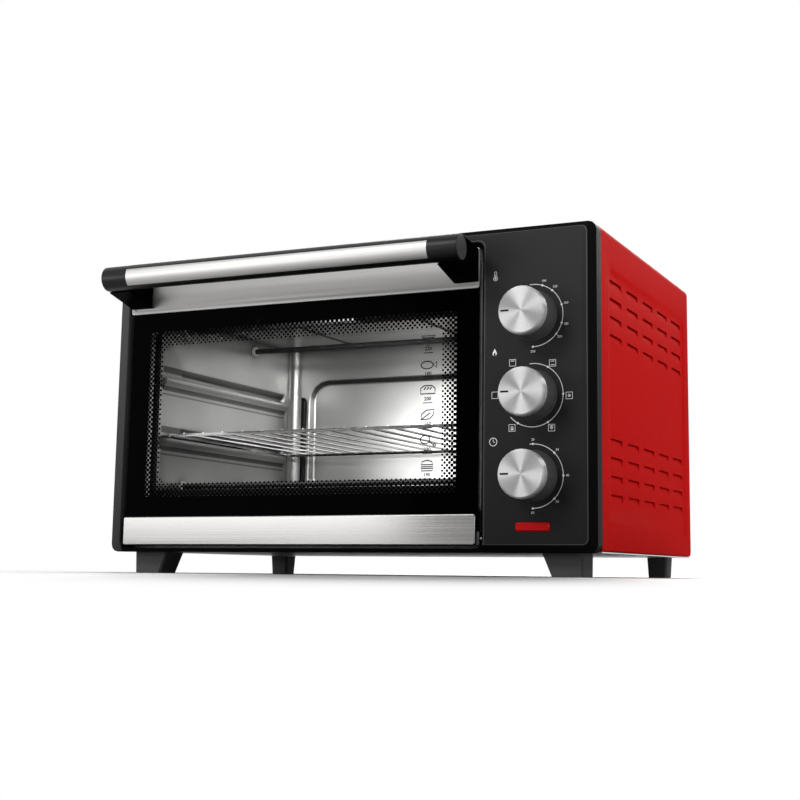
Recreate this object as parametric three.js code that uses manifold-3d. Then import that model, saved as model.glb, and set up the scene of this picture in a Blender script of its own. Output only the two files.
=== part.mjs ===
import * as THREE from "three";
import { mergeVertices } from "three/addons/utils/BufferGeometryUtils.js";
import Module from "manifold-3d";

// An electric worktop oven with a drop-down glass door, three knobs, a wire rack and a hot-air fan.
// Lengths are millimetres. In the case frame x runs right from the case's left side, y runs back from the
// bezel's rim and z runs up from the worktop. The exported group moves that frame to the middle of the base.

const wasm = await Module();
wasm.setup();

// Fits that serve the whole oven
const seatGap = 0.3;
const overrun = 2;
const mergeDistance = 0.0001;

// Case
const caseWidth = 535;
const caseDepth = 345.1;
const bezelHeight = 307.7;
const footHeight = 21.7;

// Bezel, the moulded front
const bezelDepth = 13.9;
const bezelWall = 2.5;
const bezelRise = 3;
const bezelCornerRadius = 8;
const bezelFaceRadius = 5;
const bezelSideBevel = 9.5;
const bezelTopBevel = 4.9;
const bezelBottomBevel = 8.3;
const doorBorderLeft = 12.5;
const doorBorderTop = 13;
const doorBorderBottom = 4.1;
const controlWidth = 113.1;
const openingRadius = 7;
const openingEdgeRound = 3.5;
const openingEdgeBreak = 0.8;
const openingEdgeSteps = 3;
const hingeBossWidth = 7;
const hingeBossHeight = 14;

// Door
const doorSideGap = 3;
const doorTopGap = 3.4;
const doorBottomGap = 2.8;
const doorThickness = 11.5;
const doorSheet = 1;
const doorRadius = 3;
const glassThickness = 4;
const glassTuckBottom = 13;
const glassTuckTop = 12;
const glassSideInset = 0.6;
const glassRadius = 2.5;
const trimHeight = 39.8;
const trimRim = 3.8;
const trimRimRise = 3;
const trimFaceRise = 1.8;
const trimSheet = 1;
const trimRadius = 2.5;
const stripHeight = 29.3;
const stripShortfall = 3.3;
const stripRise = 2.6;
const stripSheet = 1;
const stripRadius = 2;
const stripBevel = 0.8;
const windowSideInset = 21.45;
const windowBottomRail = 47.4;
const windowTopRail = 57.5;
const windowRadius = 6;

// Door hinges
const hingeRise = 6.2;
const hingeSetback = 3.4;
const hingePinRadius = 2;
const hingePinReach = 7.5;
const hingePinChamfer = 0.5;
const hingeEarWidth = 5;
const hingeEarHeight = 11;

// Handle
const handleReach = 46;
const handleRadius = 12.7;
const handleDrop = 9.5;
const handleWall = 2.2;
const handleInset = 0.8;
const bracketWidth = 25.4;
const bracketFootRise = 34;
const bracketTopDrop = 1.5;
const bracketTopReach = 39;
const bracketTopRise = 3.2;
const bracketUnderReach = 43.5;
const bracketUnderDrop = 14.2;
const bracketPadInset = 4.5;
const bracketBore = 2.2;
const inlayThickness = 1.2;
const inlayBracketMargin = 5;
const inlayAboveDegrees = 32;
const inlayBelowDegrees = 54;

// Cover, one folded sheet over the top and both sides
const coverSheet = 0.9;
const coverInset = 0.5;
const coverFold = 6.5;
const coverLowerFold = 2;
const coverBackFold = 7;
const coverLowerFlange = 9;
const coverBackFlange = 9;
const coverLowerRise = 1.7;
const fieldDepth = 1.4;
const fieldRadius = 12;
const fieldBorder = 5;
const fieldFront = 37.5;
const fieldBackMargin = 16;
const fieldTopMargin = 33;
const fieldBottomMargin = 18;
const louvreLength = 38.5;
const louvreHeight = 6.6;
const louvreDepth = 2.4;
const louvreColumns = 5;
const louvreRows = 4;
const louvreColumnPitch = 57.5;
const louvreRowPitch = 17.6;
const louvreFront = 46.5;
const louvreDrops = [46.3, 198.9];

// Base and back
const baseSheet = 1;
const baseRibHeight = 10;
const baseRibSetback = 34;
const baseSlotLength = 44;
const baseSlotWidth = 4;
const baseSlotPitch = 22;
const baseSlotsEach = 4;
const baseSlotFront = 70;
const baseSlotColumns = 3;
const baseSlotColumnPitch = 130;
const backSheet = 0.9;
const backRecess = 8;
const backRadius = 5;
const backSlotLength = 52;
const backSlotHeight = 4;
const backSlotRowPitch = 13;
const backSlotColumnPitch = 66;
const backSlotRows = 5;
const backSlotColumns = 3;
const backSlotTopMargin = 46;
const backSlotSideMargin = 40;
const glandBodyRadius = 8.5;
const glandBore = 3.6;
const glandLip = 1.2;
const glandFlangeRadius = 12;
const glandFlangeThickness = 2.4;
const glandOuterLength = 6;
const glandInnerLength = 8;
const glandSideInset = 62;
const glandRise = 40;

// Feet
const footSideInset = 19.5;
const footTopWidth = 40;
const footBottomWidth = 31;
const footFrontSetback = 0.6;
const footFrontDepth = 32.5;
const footBackWidth = 23;
const footBackSideInset = 15.5;
const footBackMargin = 24;
const footTaper = 1.2;
const footChamfer = 2;
const footRecessRadius = 5;
const footRecessDepth = 9;
const footScrewRadius = 2.2;

// Cavity
const cavitySheet = 1;
const cavitySideMargin = 30.7;
const cavityRearSpace = 41;
const cavityHeadroom = 40.4;
const cavityRise = 54.2;
const flangeMargin = 2.7;
const shelfRiseShares = [0.64796, 0.31786];
const shelfGrooveHeight = 16;
const shelfGrooveFloor = 8;
const shelfGrooveDepth = 4;
const shelfGrooveEnd = 3;
const shelfNose = 5;
const shelfNoseMargin = 5;
const shelfLip = 4.5;
const shelfSlope = 9;
const shelfFrontShare = 0.13879;
const shelfBackMargin = 21;
const shelfFanMargin = 10;
const shelfRadius = 3.5;
const panelSideMargin = 23;
const panelTopMargin = 37;
const panelBottomMargin = 12;
const panelDepth = 5;
const panelBorder = 7;
const panelRadius = 26;
const beadSideMargin = 6.6;
const beadWidth = 13.5;
const beadTopMargin = 57;
const beadBottomMargin = 14;
const beadDepth = 3;
const beadBorder = 3.8;
const roofBeads = 2;
const roofBeadWidth = 12;
const roofBeadDepth = 2;
const roofBeadPitch = 150;
const roofBeadMargin = 30;

// Heating elements and their ceramic ends
const rodRadius = 3.1;
const rodOverhang = 24;
const rodTerminalRadius = 1.4;
const rodTerminalLength = 8;
const rodUpperDrop = 13.5;
const rodLowerRise = 13;
const rodFrontSetback = 46;
const rodRearMargin = 95;
const ceramicFlangeRadius = 6;
const ceramicFlangeThickness = 3;
const ceramicRadius = 4.6;
const ceramicLength = 15;

// Hot-air fan in the right-hand wall
const fanForward = 2.5;
const dishRadiusShare = 0.19217;
const dishDepth = 16;
const guardOverlap = 6;
const guardSheet = 1;
const guardSlots = 10;
const guardSlotInnerShare = 0.2833;
const guardSlotOuterShare = 0.8;
const guardSlotWidthShare = 0.0833;
const impellerClearance = 8;
const impellerSheet = 1.2;
const impellerBlades = 8;
const impellerBladeHeight = 7;
const impellerBladeInnerShare = 0.326;
const impellerBladeOuterShare = 0.978;
const impellerHubRadius = 7;
const impellerHubLength = 8;
const impellerGap = 3;
const fanShaftRadius = 2.5;
const fanShaftHole = 6;
const fanShaftEngagement = 14;
const motorPlateSize = 62;
const motorPlateThickness = 1.5;
const motorStackWidth = 46;
const motorStackHeight = 56;
const motorStackThickness = 20;
const motorCoilWidth = 30;
const motorCoilHeight = 22;
const motorCoilOverhang = 5;
const motorPostLength = 6;
const motorPostRadius = 3;
const motorPostInset = 6;
const motorBearingRadius = 9;
const motorBearingLength = 4;

// Rack
const rackFrontGap = 3;
const rackBackGap = 10;
const rackSideGap = 2.4;
const rackBorderRadius = 1.8;
const rackWireRadius = 1.25;
const rackWires = 13;
const rackCornerRadius = 10;
const rackEndMargin = 26;
const rackWeldShare = 0.6;

// Crumb tray
const trayWall = 0.8;
const trayHeight = 6.3;
const traySideGap = 2;
const trayFrontGap = 3;
const trayBackGap = 10;
const trayRadius = 4;

// Knobs, from their mounting face outwards
const knobRightInset = 61.6;
const knobTopRise = 220.7;
const knobPitch = 75.2;
const knobGap = 0.8;
const knobFootRadius = 24.5;
const knobGripRadius = 23.3;
const knobNeckRadius = 22.5;
const knobFootLength = 3.4;
const knobGripLength = 22.2;
const knobFlutes = 18;
const knobFluteDepth = 0.7;
const knobWall = 2;
const knobFrontWall = 3;
const knobBossRadius = 6;
const knobBossLength = 15;
const spigotRadius = 19;
const spigotLength = 5;
const capRadius = 22.7;
const capFaceRadius = 21.2;
const capDepth = 9;
const capBevel = 1.3;
const pointerOuter = 20.3;
const pointerLength = 8.3;
const pointerWidth = 1.6;
const pointerDepth = 0.4;

// Shafts and what they work
const shaftRadius = 3;
const shaftFlatOffset = 1.6;
const shaftFrontMargin = 1;
const shaftBodyReach = 20;
const shaftHoleRadius = 4.4;
const plateWidth = 56;
const plateHeight = 28;
const plateThickness = 1.2;
const thermostatWidth = 42;
const thermostatHeight = 34;
const thermostatDepth = 24;
const switchWidth = 38;
const switchDepth = 30;
const tabCount = 4;
const tabWidth = 6.3;
const tabLength = 9;
const tabThickness = 0.8;
const tabPitch = 8;
const controlRadius = 4;
const timerRadius = 26;
const timerDepth = 32;
const bellRadius = 23;
const bellDepth = 11;
const bellWall = 1.2;
const bellStemRadius = 3;
const bellStemLength = 5;

// Indicator
const lensWidth = 33.6;
const lensHeight = 8.4;
const lensRightInset = 44.9;
const lensRise = 19.5;
const lensProud = 1.6;
const lensBevel = 1.2;
const lensDepth = 9;
const lensWall = 1.4;
const lensRadius = 1.6;
const lampRadius = 2.2;
const lampLength = 20;

// Places worked out from those sizes
const caseTop = footHeight + bezelHeight;
const panelFront = -bezelRise;
const panelBack = -bezelRise + bezelWall;
const opening = {
  left: doorBorderLeft,
  right: caseWidth - controlWidth,
  bottom: footHeight + doorBorderBottom,
  top: caseTop - doorBorderTop,
};
const door = {
  left: opening.left + doorSideGap,
  right: opening.right - doorSideGap,
  bottom: opening.bottom + doorBottomGap,
  top: opening.top - doorTopGap,
};
const doorMiddle = (door.left + door.right) / 2;
const hinge = { y: hingeSetback, z: door.bottom + hingeRise };
const handle = { y: -handleReach, z: door.top - handleDrop };
const cover = {
  left: coverInset,
  right: caseWidth - coverInset,
  top: caseTop - coverInset,
  bottom: footHeight + coverLowerRise,
  front: bezelDepth + seatGap,
  back: caseDepth,
};
const base = { top: cover.bottom - seatGap, bottom: cover.bottom - seatGap - baseSheet };
const backPlate = { back: cover.back - backRecess, front: cover.back - backRecess - backSheet };
const cavity = {
  left: opening.left + cavitySideMargin,
  right: opening.right - cavitySideMargin,
  bottom: opening.bottom + cavityRise,
  top: opening.top - cavityHeadroom,
  front: bezelDepth + seatGap,
  back: backPlate.front - cavityRearSpace,
};
const flange = {
  left: opening.left - flangeMargin,
  right: opening.right + flangeMargin,
  bottom: base.top + seatGap,
  top: opening.top + flangeMargin,
};
const lens = {
  left: caseWidth - lensRightInset - lensWidth,
  right: caseWidth - lensRightInset,
  bottom: footHeight + lensRise,
  top: footHeight + lensRise + lensHeight,
};
const knobX = caseWidth - knobRightInset;
const knobZs = [0, 1, 2].map((row) => footHeight + knobTopRise - row * knobPitch);
const glassBack = seatGap + glassThickness;
const shelfHeights = shelfRiseShares.map((share) => share * (cavity.top - cavity.bottom));
const dishRadius = dishRadiusShare * (cavity.back - cavity.front);
const shelfFront = cavity.front + shelfFrontShare * (cavity.back - cavity.front);
const guardRadius = dishRadius + guardOverlap;
const guardSlotInner = guardSlotInnerShare * guardRadius;
const guardSlotOuter = guardSlotOuterShare * guardRadius;
const impellerRadius = dishRadius - impellerClearance;
const impellerBladeInner = impellerBladeInnerShare * impellerRadius;
const impellerBladeOuter = impellerBladeOuterShare * impellerRadius;
const fan = {
  x: cavity.right,
  y: (cavity.front + cavity.back) / 2 - fanForward,
  z: (cavity.bottom + cavity.top) / 2,
};

// Materials
function finish(color, roughness, metalness) {
  return new THREE.MeshStandardMaterial({ color, roughness, metalness, flatShading: true });
}
const redPaint = finish(0xb81c1e, 0.42, 0.1);
const blackPlastic = finish(0x2b2b2c, 0.5, 0);
const blackSteel = finish(0x1c1c1d, 0.5, 0.2);
const brushedSteel = finish(0xb9b8b4, 0.34, 0.9);
const aluminisedSteel = finish(0x9a9a98, 0.45, 0.8);
const spunAluminium = finish(0xcfcfcf, 0.28, 0.95);
const chromeWire = finish(0xc8c8c8, 0.25, 0.95);
const elementSteel = finish(0x3c3b39, 0.5, 0.6);
const ceramic = finish(0xe6e2d6, 0.6, 0);
const redLens = finish(0xc4181c, 0.25, 0);
const lampGlass = finish(0xf2b28a, 0.3, 0);
const bakelite = finish(0x3a2c24, 0.6, 0);
const doorGlass = new THREE.MeshStandardMaterial({
  color: 0x30343a,
  roughness: 0.06,
  metalness: 0,
  transparent: true,
  opacity: 0.35,
  flatShading: true,
});

// A solid from a closed geometry, with its faces turned out
function solidOf(geometry) {
  const bare = geometry.clone();
  bare.deleteAttribute("normal");
  bare.deleteAttribute("uv");
  const merged = mergeVertices(bare, mergeDistance);
  const position = merged.attributes.position.array;
  const index = merged.index.array;
  const corner = (i) => new THREE.Vector3(position[3 * i], position[3 * i + 1], position[3 * i + 2]);
  const triangles = [];
  let volume = 0;
  for (let i = 0; i < index.length; i += 3) {
    const [a, b, c] = [index[i], index[i + 1], index[i + 2]];
    if (a !== b && b !== c && c !== a) {
      triangles.push(a, b, c);
      volume += corner(a).dot(corner(b).cross(corner(c)));
    }
  }
  if (volume < 0) triangles.reverse();
  return new wasm.Manifold(
    new wasm.Mesh({
      numProp: 3,
      vertProperties: new Float32Array(position),
      triVerts: new Uint32Array(triangles),
    }),
  );
}

function joined(solids) {
  return solids.reduce((whole, piece) => whole.add(piece));
}

function without(whole, cuts) {
  return cuts.reduce((rest, cut) => rest.subtract(cut), whole);
}

function geometryOf(solid) {
  const mesh = solid.getMesh();
  const geometry = new THREE.BufferGeometry();
  geometry.setAttribute("position", new THREE.BufferAttribute(mesh.vertProperties, mesh.numProp));
  geometry.setIndex(new THREE.BufferAttribute(mesh.triVerts, 1));
  geometry.computeVertexNormals();
  return geometry;
}

function counted(count) {
  return Array.from({ length: count }, (_, i) => i);
}

function block(left, right, front, back, bottom, top) {
  const geometry = new THREE.BoxGeometry(right - left, back - front, top - bottom);
  geometry.translate((left + right) / 2, (front + back) / 2, (bottom + top) / 2);
  return solidOf(geometry);
}

function roundedOutline(left, right, bottom, top, radius, lowerRadius = radius) {
  const outline = new THREE.Shape();
  outline.absarc(right - lowerRadius, bottom + lowerRadius, lowerRadius, -Math.PI / 2, 0);
  outline.absarc(right - radius, top - radius, radius, 0, Math.PI / 2);
  outline.absarc(left + radius, top - radius, radius, Math.PI / 2, Math.PI);
  outline.absarc(left + lowerRadius, bottom + lowerRadius, lowerRadius, Math.PI, (3 * Math.PI) / 2);
  outline.closePath();
  return outline;
}

function polygon(points) {
  return new THREE.Shape(points.map(([a, b]) => new THREE.Vector2(a, b)));
}

function extruded(outline, depth, curveSegments) {
  return new THREE.ExtrudeGeometry(outline, { depth, bevelEnabled: false, curveSegments });
}

// An outline drawn in x and z, carried from front to back
function slabY(outline, front, back, curveSegments = 4) {
  const geometry = extruded(outline, back - front, curveSegments);
  geometry.rotateX(Math.PI / 2);
  geometry.translate(0, back, 0);
  return solidOf(geometry);
}

// An outline drawn in y and z, carried from left to right
function slabX(outline, left, right, curveSegments = 4) {
  const geometry = extruded(outline, right - left, curveSegments);
  const turn = new THREE.Matrix4().makeBasis(
    new THREE.Vector3(0, 1, 0),
    new THREE.Vector3(0, 0, 1),
    new THREE.Vector3(1, 0, 0),
  );
  geometry.applyMatrix4(turn);
  geometry.translate(left, 0, 0);
  return solidOf(geometry);
}

// An outline drawn in x and y, carried from bottom to top
function slabZ(outline, bottom, top, curveSegments = 4) {
  const geometry = extruded(outline, top - bottom, curveSegments);
  geometry.translate(0, 0, bottom);
  return solidOf(geometry);
}

function rodX(left, right, y, z, radius, sides) {
  const geometry = new THREE.CylinderGeometry(radius, radius, right - left, sides);
  geometry.rotateZ(Math.PI / 2);
  geometry.translate((left + right) / 2, y, z);
  return solidOf(geometry);
}

function rodY(front, back, x, z, radius, sides) {
  const geometry = new THREE.CylinderGeometry(radius, radius, back - front, sides);
  geometry.translate(x, (front + back) / 2, z);
  return solidOf(geometry);
}

function rodZ(bottom, top, x, y, radius, sides) {
  const geometry = new THREE.CylinderGeometry(radius, radius, top - bottom, sides);
  geometry.rotateX(Math.PI / 2);
  geometry.translate(x, y, (bottom + top) / 2);
  return solidOf(geometry);
}

function lathe(profile, sides) {
  return new THREE.LatheGeometry(
    profile.map(([radius, along]) => new THREE.Vector2(radius, along)),
    sides,
  );
}

// A profile of radius and distance back, turned about a line along y
function turnedY(profile, x, z, sides) {
  const geometry = lathe(profile, sides);
  geometry.translate(x, 0, z);
  return solidOf(geometry);
}

// A profile of radius and distance to the right, turned about a line along x
function turnedX(profile, y, z, sides) {
  const geometry = lathe(profile, sides);
  geometry.rotateZ(-Math.PI / 2);
  geometry.translate(0, y, z);
  return solidOf(geometry);
}

// A skin through rings of equal count, closed at both ends
function lofted(rings) {
  const count = rings[0].length;
  const index = [];
  for (let ring = 0; ring + 1 < rings.length; ring += 1) {
    for (let i = 0; i < count; i += 1) {
      const a = ring * count + i;
      const b = ring * count + ((i + 1) % count);
      index.push(a, b, a + count, b, b + count, a + count);
    }
  }
  const last = (rings.length - 1) * count;
  for (let i = 1; i + 1 < count; i += 1) {
    index.push(0, i + 1, i);
    index.push(last, last + i, last + i + 1);
  }
  const geometry = new THREE.BufferGeometry();
  geometry.setAttribute("position", new THREE.Float32BufferAttribute(rings.flat(2), 3));
  geometry.setIndex(index);
  return solidOf(geometry);
}

// A rounded rectangle in x and z as one ring of points at distance y
function faceRing(left, right, bottom, top, radius, y, steps = 3) {
  const corners = [
    [right - radius, bottom + radius, -Math.PI / 2],
    [right - radius, top - radius, 0],
    [left + radius, top - radius, Math.PI / 2],
    [left + radius, bottom + radius, Math.PI],
  ];
  return corners.flatMap(([x, z, start]) =>
    counted(steps + 1).map((i) => {
      const angle = start + ((Math.PI / 2) * i) / steps;
      return [x + radius * Math.cos(angle), y, z + radius * Math.sin(angle)];
    }),
  );
}

// The same ring in y and z at distance x
function sideRing(front, back, bottom, top, radius, x, steps) {
  return faceRing(front, back, bottom, top, radius, x, steps).map(([y, at, z]) => [at, y, z]);
}

// A form pressed into a sheet: the metal pushed out behind it and the hollow that it leaves. The ring at
// its floor has a share of 1, the ring at the sheet's face a share of 0.
function pressing(ring, depth, sheet) {
  return {
    pad: lofted([ring(sheet, 0, sheet / 2), ring(sheet, 1, depth + sheet)]),
    cut: lofted([ring(0, 0, -overrun), ring(0, 0, 0), ring(0, 1, depth)]),
  };
}

// A rectangle with cut corners in x and y as one ring of points at height z
function footRing(left, right, front, back, z) {
  const cut = footChamfer;
  return [
    [left + cut, front, z],
    [right - cut, front, z],
    [right, front + cut, z],
    [right, back - cut, z],
    [right - cut, back, z],
    [left + cut, back, z],
    [left, back - cut, z],
    [left, front + cut, z],
  ];
}

// The groups follow what moves: the door about its hinge, the knobs and the fan about their axes
const caseGroup = new THREE.Group();

function assembly(x, y, z) {
  const group = new THREE.Group();
  group.position.set(x, y, z);
  caseGroup.add(group);
  return group;
}

// A piece drawn in the case frame, held by the group that it moves with
function place(group, name, solid, material) {
  const mesh = new THREE.Mesh(geometryOf(solid), material);
  mesh.name = name;
  mesh.position.copy(group.position).negate();
  group.add(mesh);
}

const cabinet = assembly(0, 0, 0);
const doorGroup = assembly(doorMiddle, hinge.y, hinge.z);
const rackGroup = assembly(doorMiddle, cavity.front, cavity.bottom + shelfHeights[1]);
const trayGroup = assembly(doorMiddle, cavity.front, cavity.bottom);
const fanGroup = assembly(fan.x, fan.y, fan.z);
const knobGroups = knobZs.map((z) => assembly(knobX, panelFront, z));

// Bezel: a shell with a bevelled rim, a return wall round the door opening and a boss at each hinge
function bezelSolid() {
  const ring = (side, bottom, top, radius, y) =>
    faceRing(side, caseWidth - side, footHeight + bottom, caseTop - top, radius, y);
  const wall = bezelWall;
  const outer = lofted([
    ring(0, 0, 0, bezelCornerRadius, bezelDepth),
    ring(0, 0, 0, bezelCornerRadius, 0),
    ring(bezelSideBevel, bezelBottomBevel, bezelTopBevel, bezelFaceRadius, panelFront),
  ]);
  const hollow = lofted([
    ring(wall, wall, wall, bezelFaceRadius, bezelDepth + overrun),
    ring(wall, wall, wall, bezelFaceRadius, wall),
    ring(bezelSideBevel + wall, bezelBottomBevel + wall, bezelTopBevel + wall, bezelFaceRadius, panelBack),
  ]);
  const bossBottom = hinge.z - hingeBossHeight / 2;
  const bosses = [opening.left - wall - hingeBossWidth, opening.right].map((left) => {
    const right = left + wall + hingeBossWidth;
    return block(left, right, panelFront, bezelDepth, bossBottom, bossBottom + hingeBossHeight);
  });
  const surround = slabY(
    roundedOutline(
      opening.left - wall,
      opening.right + wall,
      opening.bottom - wall,
      opening.top + wall,
      openingRadius + wall,
    ),
    panelFront,
    bezelDepth,
  );
  const doorwayRing = (flare, y) =>
    faceRing(
      opening.left - flare * openingEdgeBreak,
      opening.right + flare * openingEdgeRound,
      opening.bottom - flare * openingEdgeBreak,
      opening.top + flare * openingEdgeRound,
      openingRadius,
      y,
      4,
    );
  const roundedEdge = counted(openingEdgeSteps + 1).map((i) => {
    const angle = (Math.PI / 2) * (1 - i / openingEdgeSteps);
    return doorwayRing(1 - Math.cos(angle), panelFront + openingEdgeRound * (1 - Math.sin(angle)));
  });
  const doorway = lofted([
    doorwayRing(1, panelFront - overrun),
    ...roundedEdge,
    doorwayRing(0, bezelDepth + overrun),
  ]);
  const pinHoles = rodX(
    opening.left - hingePinReach - seatGap,
    opening.right + hingePinReach + seatGap,
    hinge.y,
    hinge.z,
    hingePinRadius + seatGap,
    12,
  );
  const lensHole = slabY(
    roundedOutline(
      lens.left - seatGap,
      lens.right + seatGap,
      lens.bottom - seatGap,
      lens.top + seatGap,
      lensRadius,
    ),
    panelFront - overrun,
    panelBack + overrun,
    2,
  );
  const shaftHoles = knobZs.map((z) =>
    rodY(panelFront - overrun, panelBack + overrun, knobX, z, shaftHoleRadius, 10),
  );
  const inside = joined([surround, ...bosses]).intersect(outer);
  return without(outer.subtract(hollow).add(inside), [doorway, pinHoles, lensHole, ...shaftHoles]);
}
place(cabinet, "front_bezel", bezelSolid(), blackPlastic);

// Indicator: a bevelled red cap through the bezel, open behind for its lamp
function lensSolid() {
  const ring = (shrink, y) =>
    faceRing(
      lens.left + shrink,
      lens.right - shrink,
      lens.bottom + shrink,
      lens.top - shrink,
      lensRadius,
      y,
      2,
    );
  const body = lofted([
    ring(0, panelFront + lensDepth),
    ring(0, panelFront - lensProud + lensBevel),
    ring(lensBevel, panelFront - lensProud),
  ]);
  const hollow = block(
    lens.left + lensWall,
    lens.right - lensWall,
    panelFront,
    panelFront + lensDepth + overrun,
    lens.bottom + lensWall,
    lens.top - lensWall,
  );
  return body.subtract(hollow);
}
place(cabinet, "indicator_lens", lensSolid(), redLens);

const lampMiddle = (lens.left + lens.right) / 2;
const lampSolid = rodX(
  lampMiddle - lampLength / 2,
  lampMiddle + lampLength / 2,
  panelFront + seatGap + lampRadius,
  (lens.bottom + lens.top) / 2,
  lampRadius,
  10,
);
place(cabinet, "indicator_lamp", lampSolid, lampGlass);

// Cover: a folded sheet with a pressed field of louvres on each side
function coverBody(shrink, front) {
  const { left, right, top, bottom, back } = cover;
  const across = roundedOutline(
    left + shrink,
    right - shrink,
    bottom + shrink,
    top - shrink,
    coverFold - shrink,
    coverLowerFold - shrink,
  );
  const rear = back - shrink;
  const fold = coverBackFold - shrink;
  const along = new THREE.Shape();
  along.absarc(rear - fold, bottom + shrink + fold, fold, -Math.PI / 2, 0);
  along.absarc(rear - fold, top - shrink - fold, fold, 0, Math.PI / 2);
  along.lineTo(front, top - shrink);
  along.lineTo(front, bottom + shrink);
  along.closePath();
  return slabY(across, front, rear, 3).intersect(slabX(along, left + shrink, right - shrink, 3));
}

function sideDepth(side, depth) {
  return side === "left" ? cover.left + depth : cover.right - depth;
}

// The field's border slopes from the outer face down to its floor
function fieldPressing(side) {
  const ring = (growth, share, depth) => {
    const shrink = share * fieldBorder - growth;
    return sideRing(
      fieldFront + shrink,
      cover.back - fieldBackMargin - shrink,
      cover.bottom + fieldBottomMargin + shrink,
      cover.top - fieldTopMargin - shrink,
      fieldRadius - shrink,
      sideDepth(side, depth),
      3,
    );
  };
  return pressing(ring, fieldDepth, coverSheet);
}

// A prism along y whose section is given as depths in from the side and drops from its top
function louvreSolid(side, front, back, top, points) {
  const section = points.map(([depth, drop]) => [sideDepth(side, depth), top - drop]);
  return slabY(polygon(section), front, back);
}

function louvrePlaces() {
  return ["left", "right"].flatMap((side) =>
    louvreDrops.flatMap((drop) =>
      counted(louvreRows).flatMap((row) =>
        counted(louvreColumns).map((column) => ({
          side,
          front: louvreFront + column * louvreColumnPitch,
          top: cover.top - drop - row * louvreRowPitch,
        })),
      ),
    ),
  );
}

// A louvre's tongue slopes inwards and upwards from the slot's lower edge to an open roof
function coverSolid() {
  const { left, right, top, bottom, front, back } = cover;
  const sheet = coverSheet;
  const shell = without(coverBody(0, front), [
    coverBody(sheet, front - overrun),
    block(
      left + coverLowerFlange,
      right - coverLowerFlange,
      front - overrun,
      back - coverBackFlange,
      bottom - overrun,
      bottom + sheet + overrun,
    ),
    block(
      left + coverBackFlange,
      right - coverBackFlange,
      back - sheet - overrun,
      back + overrun,
      bottom + coverBackFlange,
      top - coverBackFlange,
    ),
  ]);
  const fields = ["left", "right"].map(fieldPressing);
  const tongues = louvrePlaces().map((louvre) =>
    louvreSolid(louvre.side, louvre.front - sheet, louvre.front + louvreLength + sheet, louvre.top, [
      [fieldDepth + sheet / 2, 0],
      [fieldDepth + louvreDepth + sheet, 0],
      [fieldDepth + sheet / 2, louvreHeight + sheet],
    ]),
  );
  const slots = louvrePlaces().map((louvre) =>
    louvreSolid(louvre.side, louvre.front, louvre.front + louvreLength, louvre.top, [
      [fieldDepth - overrun, 0],
      [fieldDepth + louvreDepth, 0],
      [fieldDepth, louvreHeight],
      [fieldDepth - overrun, louvreHeight],
    ]),
  );
  const raised = joined([shell, ...fields.map((field) => field.pad)]);
  const pressed = without(raised, fields.map((field) => field.cut));
  return joined([pressed, ...tongues]).subtract(joined(slots));
}
place(cabinet, "outer_cover", coverSolid(), redPaint);

// Feet: the front pair are wide and slanted on their inner side, the rear pair are small blocks
function footPlaces() {
  const foot = (name, top, bottom, front, depth) => ({
    name,
    top,
    bottom,
    front,
    back: front + depth,
    screwX: (bottom[0] + bottom[1]) / 2,
    screwY: front + depth / 2,
  });
  const mirrored = ([a, b]) => [caseWidth - b, caseWidth - a];
  const front = cover.front + footFrontSetback;
  const frontTop = [footSideInset, footSideInset + footTopWidth];
  const frontBottom = [footSideInset, footSideInset + footBottomWidth];
  const rear = cover.back - footBackMargin - footBackWidth;
  const rearTop = [footBackSideInset, footBackSideInset + footBackWidth];
  const rearBottom = [rearTop[0] + footTaper, rearTop[1] - footTaper];
  return [
    foot("foot_front_left", frontTop, frontBottom, front, footFrontDepth),
    foot("foot_front_right", mirrored(frontTop), mirrored(frontBottom), front, footFrontDepth),
    foot("foot_rear_left", rearTop, rearBottom, rear, footBackWidth),
    foot("foot_rear_right", mirrored(rearTop), mirrored(rearBottom), rear, footBackWidth),
  ];
}

function footSolid(foot) {
  const top = base.bottom - seatGap;
  const body = lofted([
    footRing(foot.bottom[0], foot.bottom[1], foot.front + footTaper, foot.back - footTaper, 0),
    footRing(foot.top[0], foot.top[1], foot.front, foot.back, top),
  ]);
  return without(body, [
    rodZ(-overrun, footRecessDepth, foot.screwX, foot.screwY, footRecessRadius, 8),
    rodZ(-overrun, top + overrun, foot.screwX, foot.screwY, footScrewRadius, 8),
  ]);
}
footPlaces().forEach((foot) => place(cabinet, foot.name, footSolid(foot), blackPlastic));

// Base plate under the cover's flanges, with stiffening ribs, vent slots and screw holes
function baseSolid() {
  const left = cover.left + seatGap;
  const right = cover.right - seatGap;
  const middle = (left + right) / 2;
  const plate = block(left, right, cover.front, cover.back - coverBackFold, base.bottom, base.top);
  const ribs = [left + coverLowerFlange, right - coverLowerFlange - baseSheet].map((x) =>
    block(
      x,
      x + baseSheet,
      cover.front + baseRibSetback,
      backPlate.front - seatGap,
      base.bottom,
      base.top + baseRibHeight,
    ),
  );
  const slots = counted(baseSlotColumns).flatMap((column) =>
    counted(baseSlotsEach).map((row) => {
      const x = middle + (column - (baseSlotColumns - 1) / 2) * baseSlotColumnPitch - baseSlotLength / 2;
      const y = cover.front + baseSlotFront + row * baseSlotPitch;
      return block(x, x + baseSlotLength, y, y + baseSlotWidth, base.bottom - overrun, base.top + overrun);
    }),
  );
  const screwHoles = footPlaces().map((foot) =>
    rodZ(base.bottom - overrun, base.top + overrun, foot.screwX, foot.screwY, footScrewRadius, 8),
  );
  return without(joined([plate, ...ribs]), [...slots, ...screwHoles]);
}
place(cabinet, "base_plate", baseSolid(), aluminisedSteel);

// Rear panel: a pan set against the cover's back flange, with vent slots and a gland for the supply cord
const gland = { x: caseWidth - glandSideInset, z: cover.bottom + glandRise };

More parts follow.
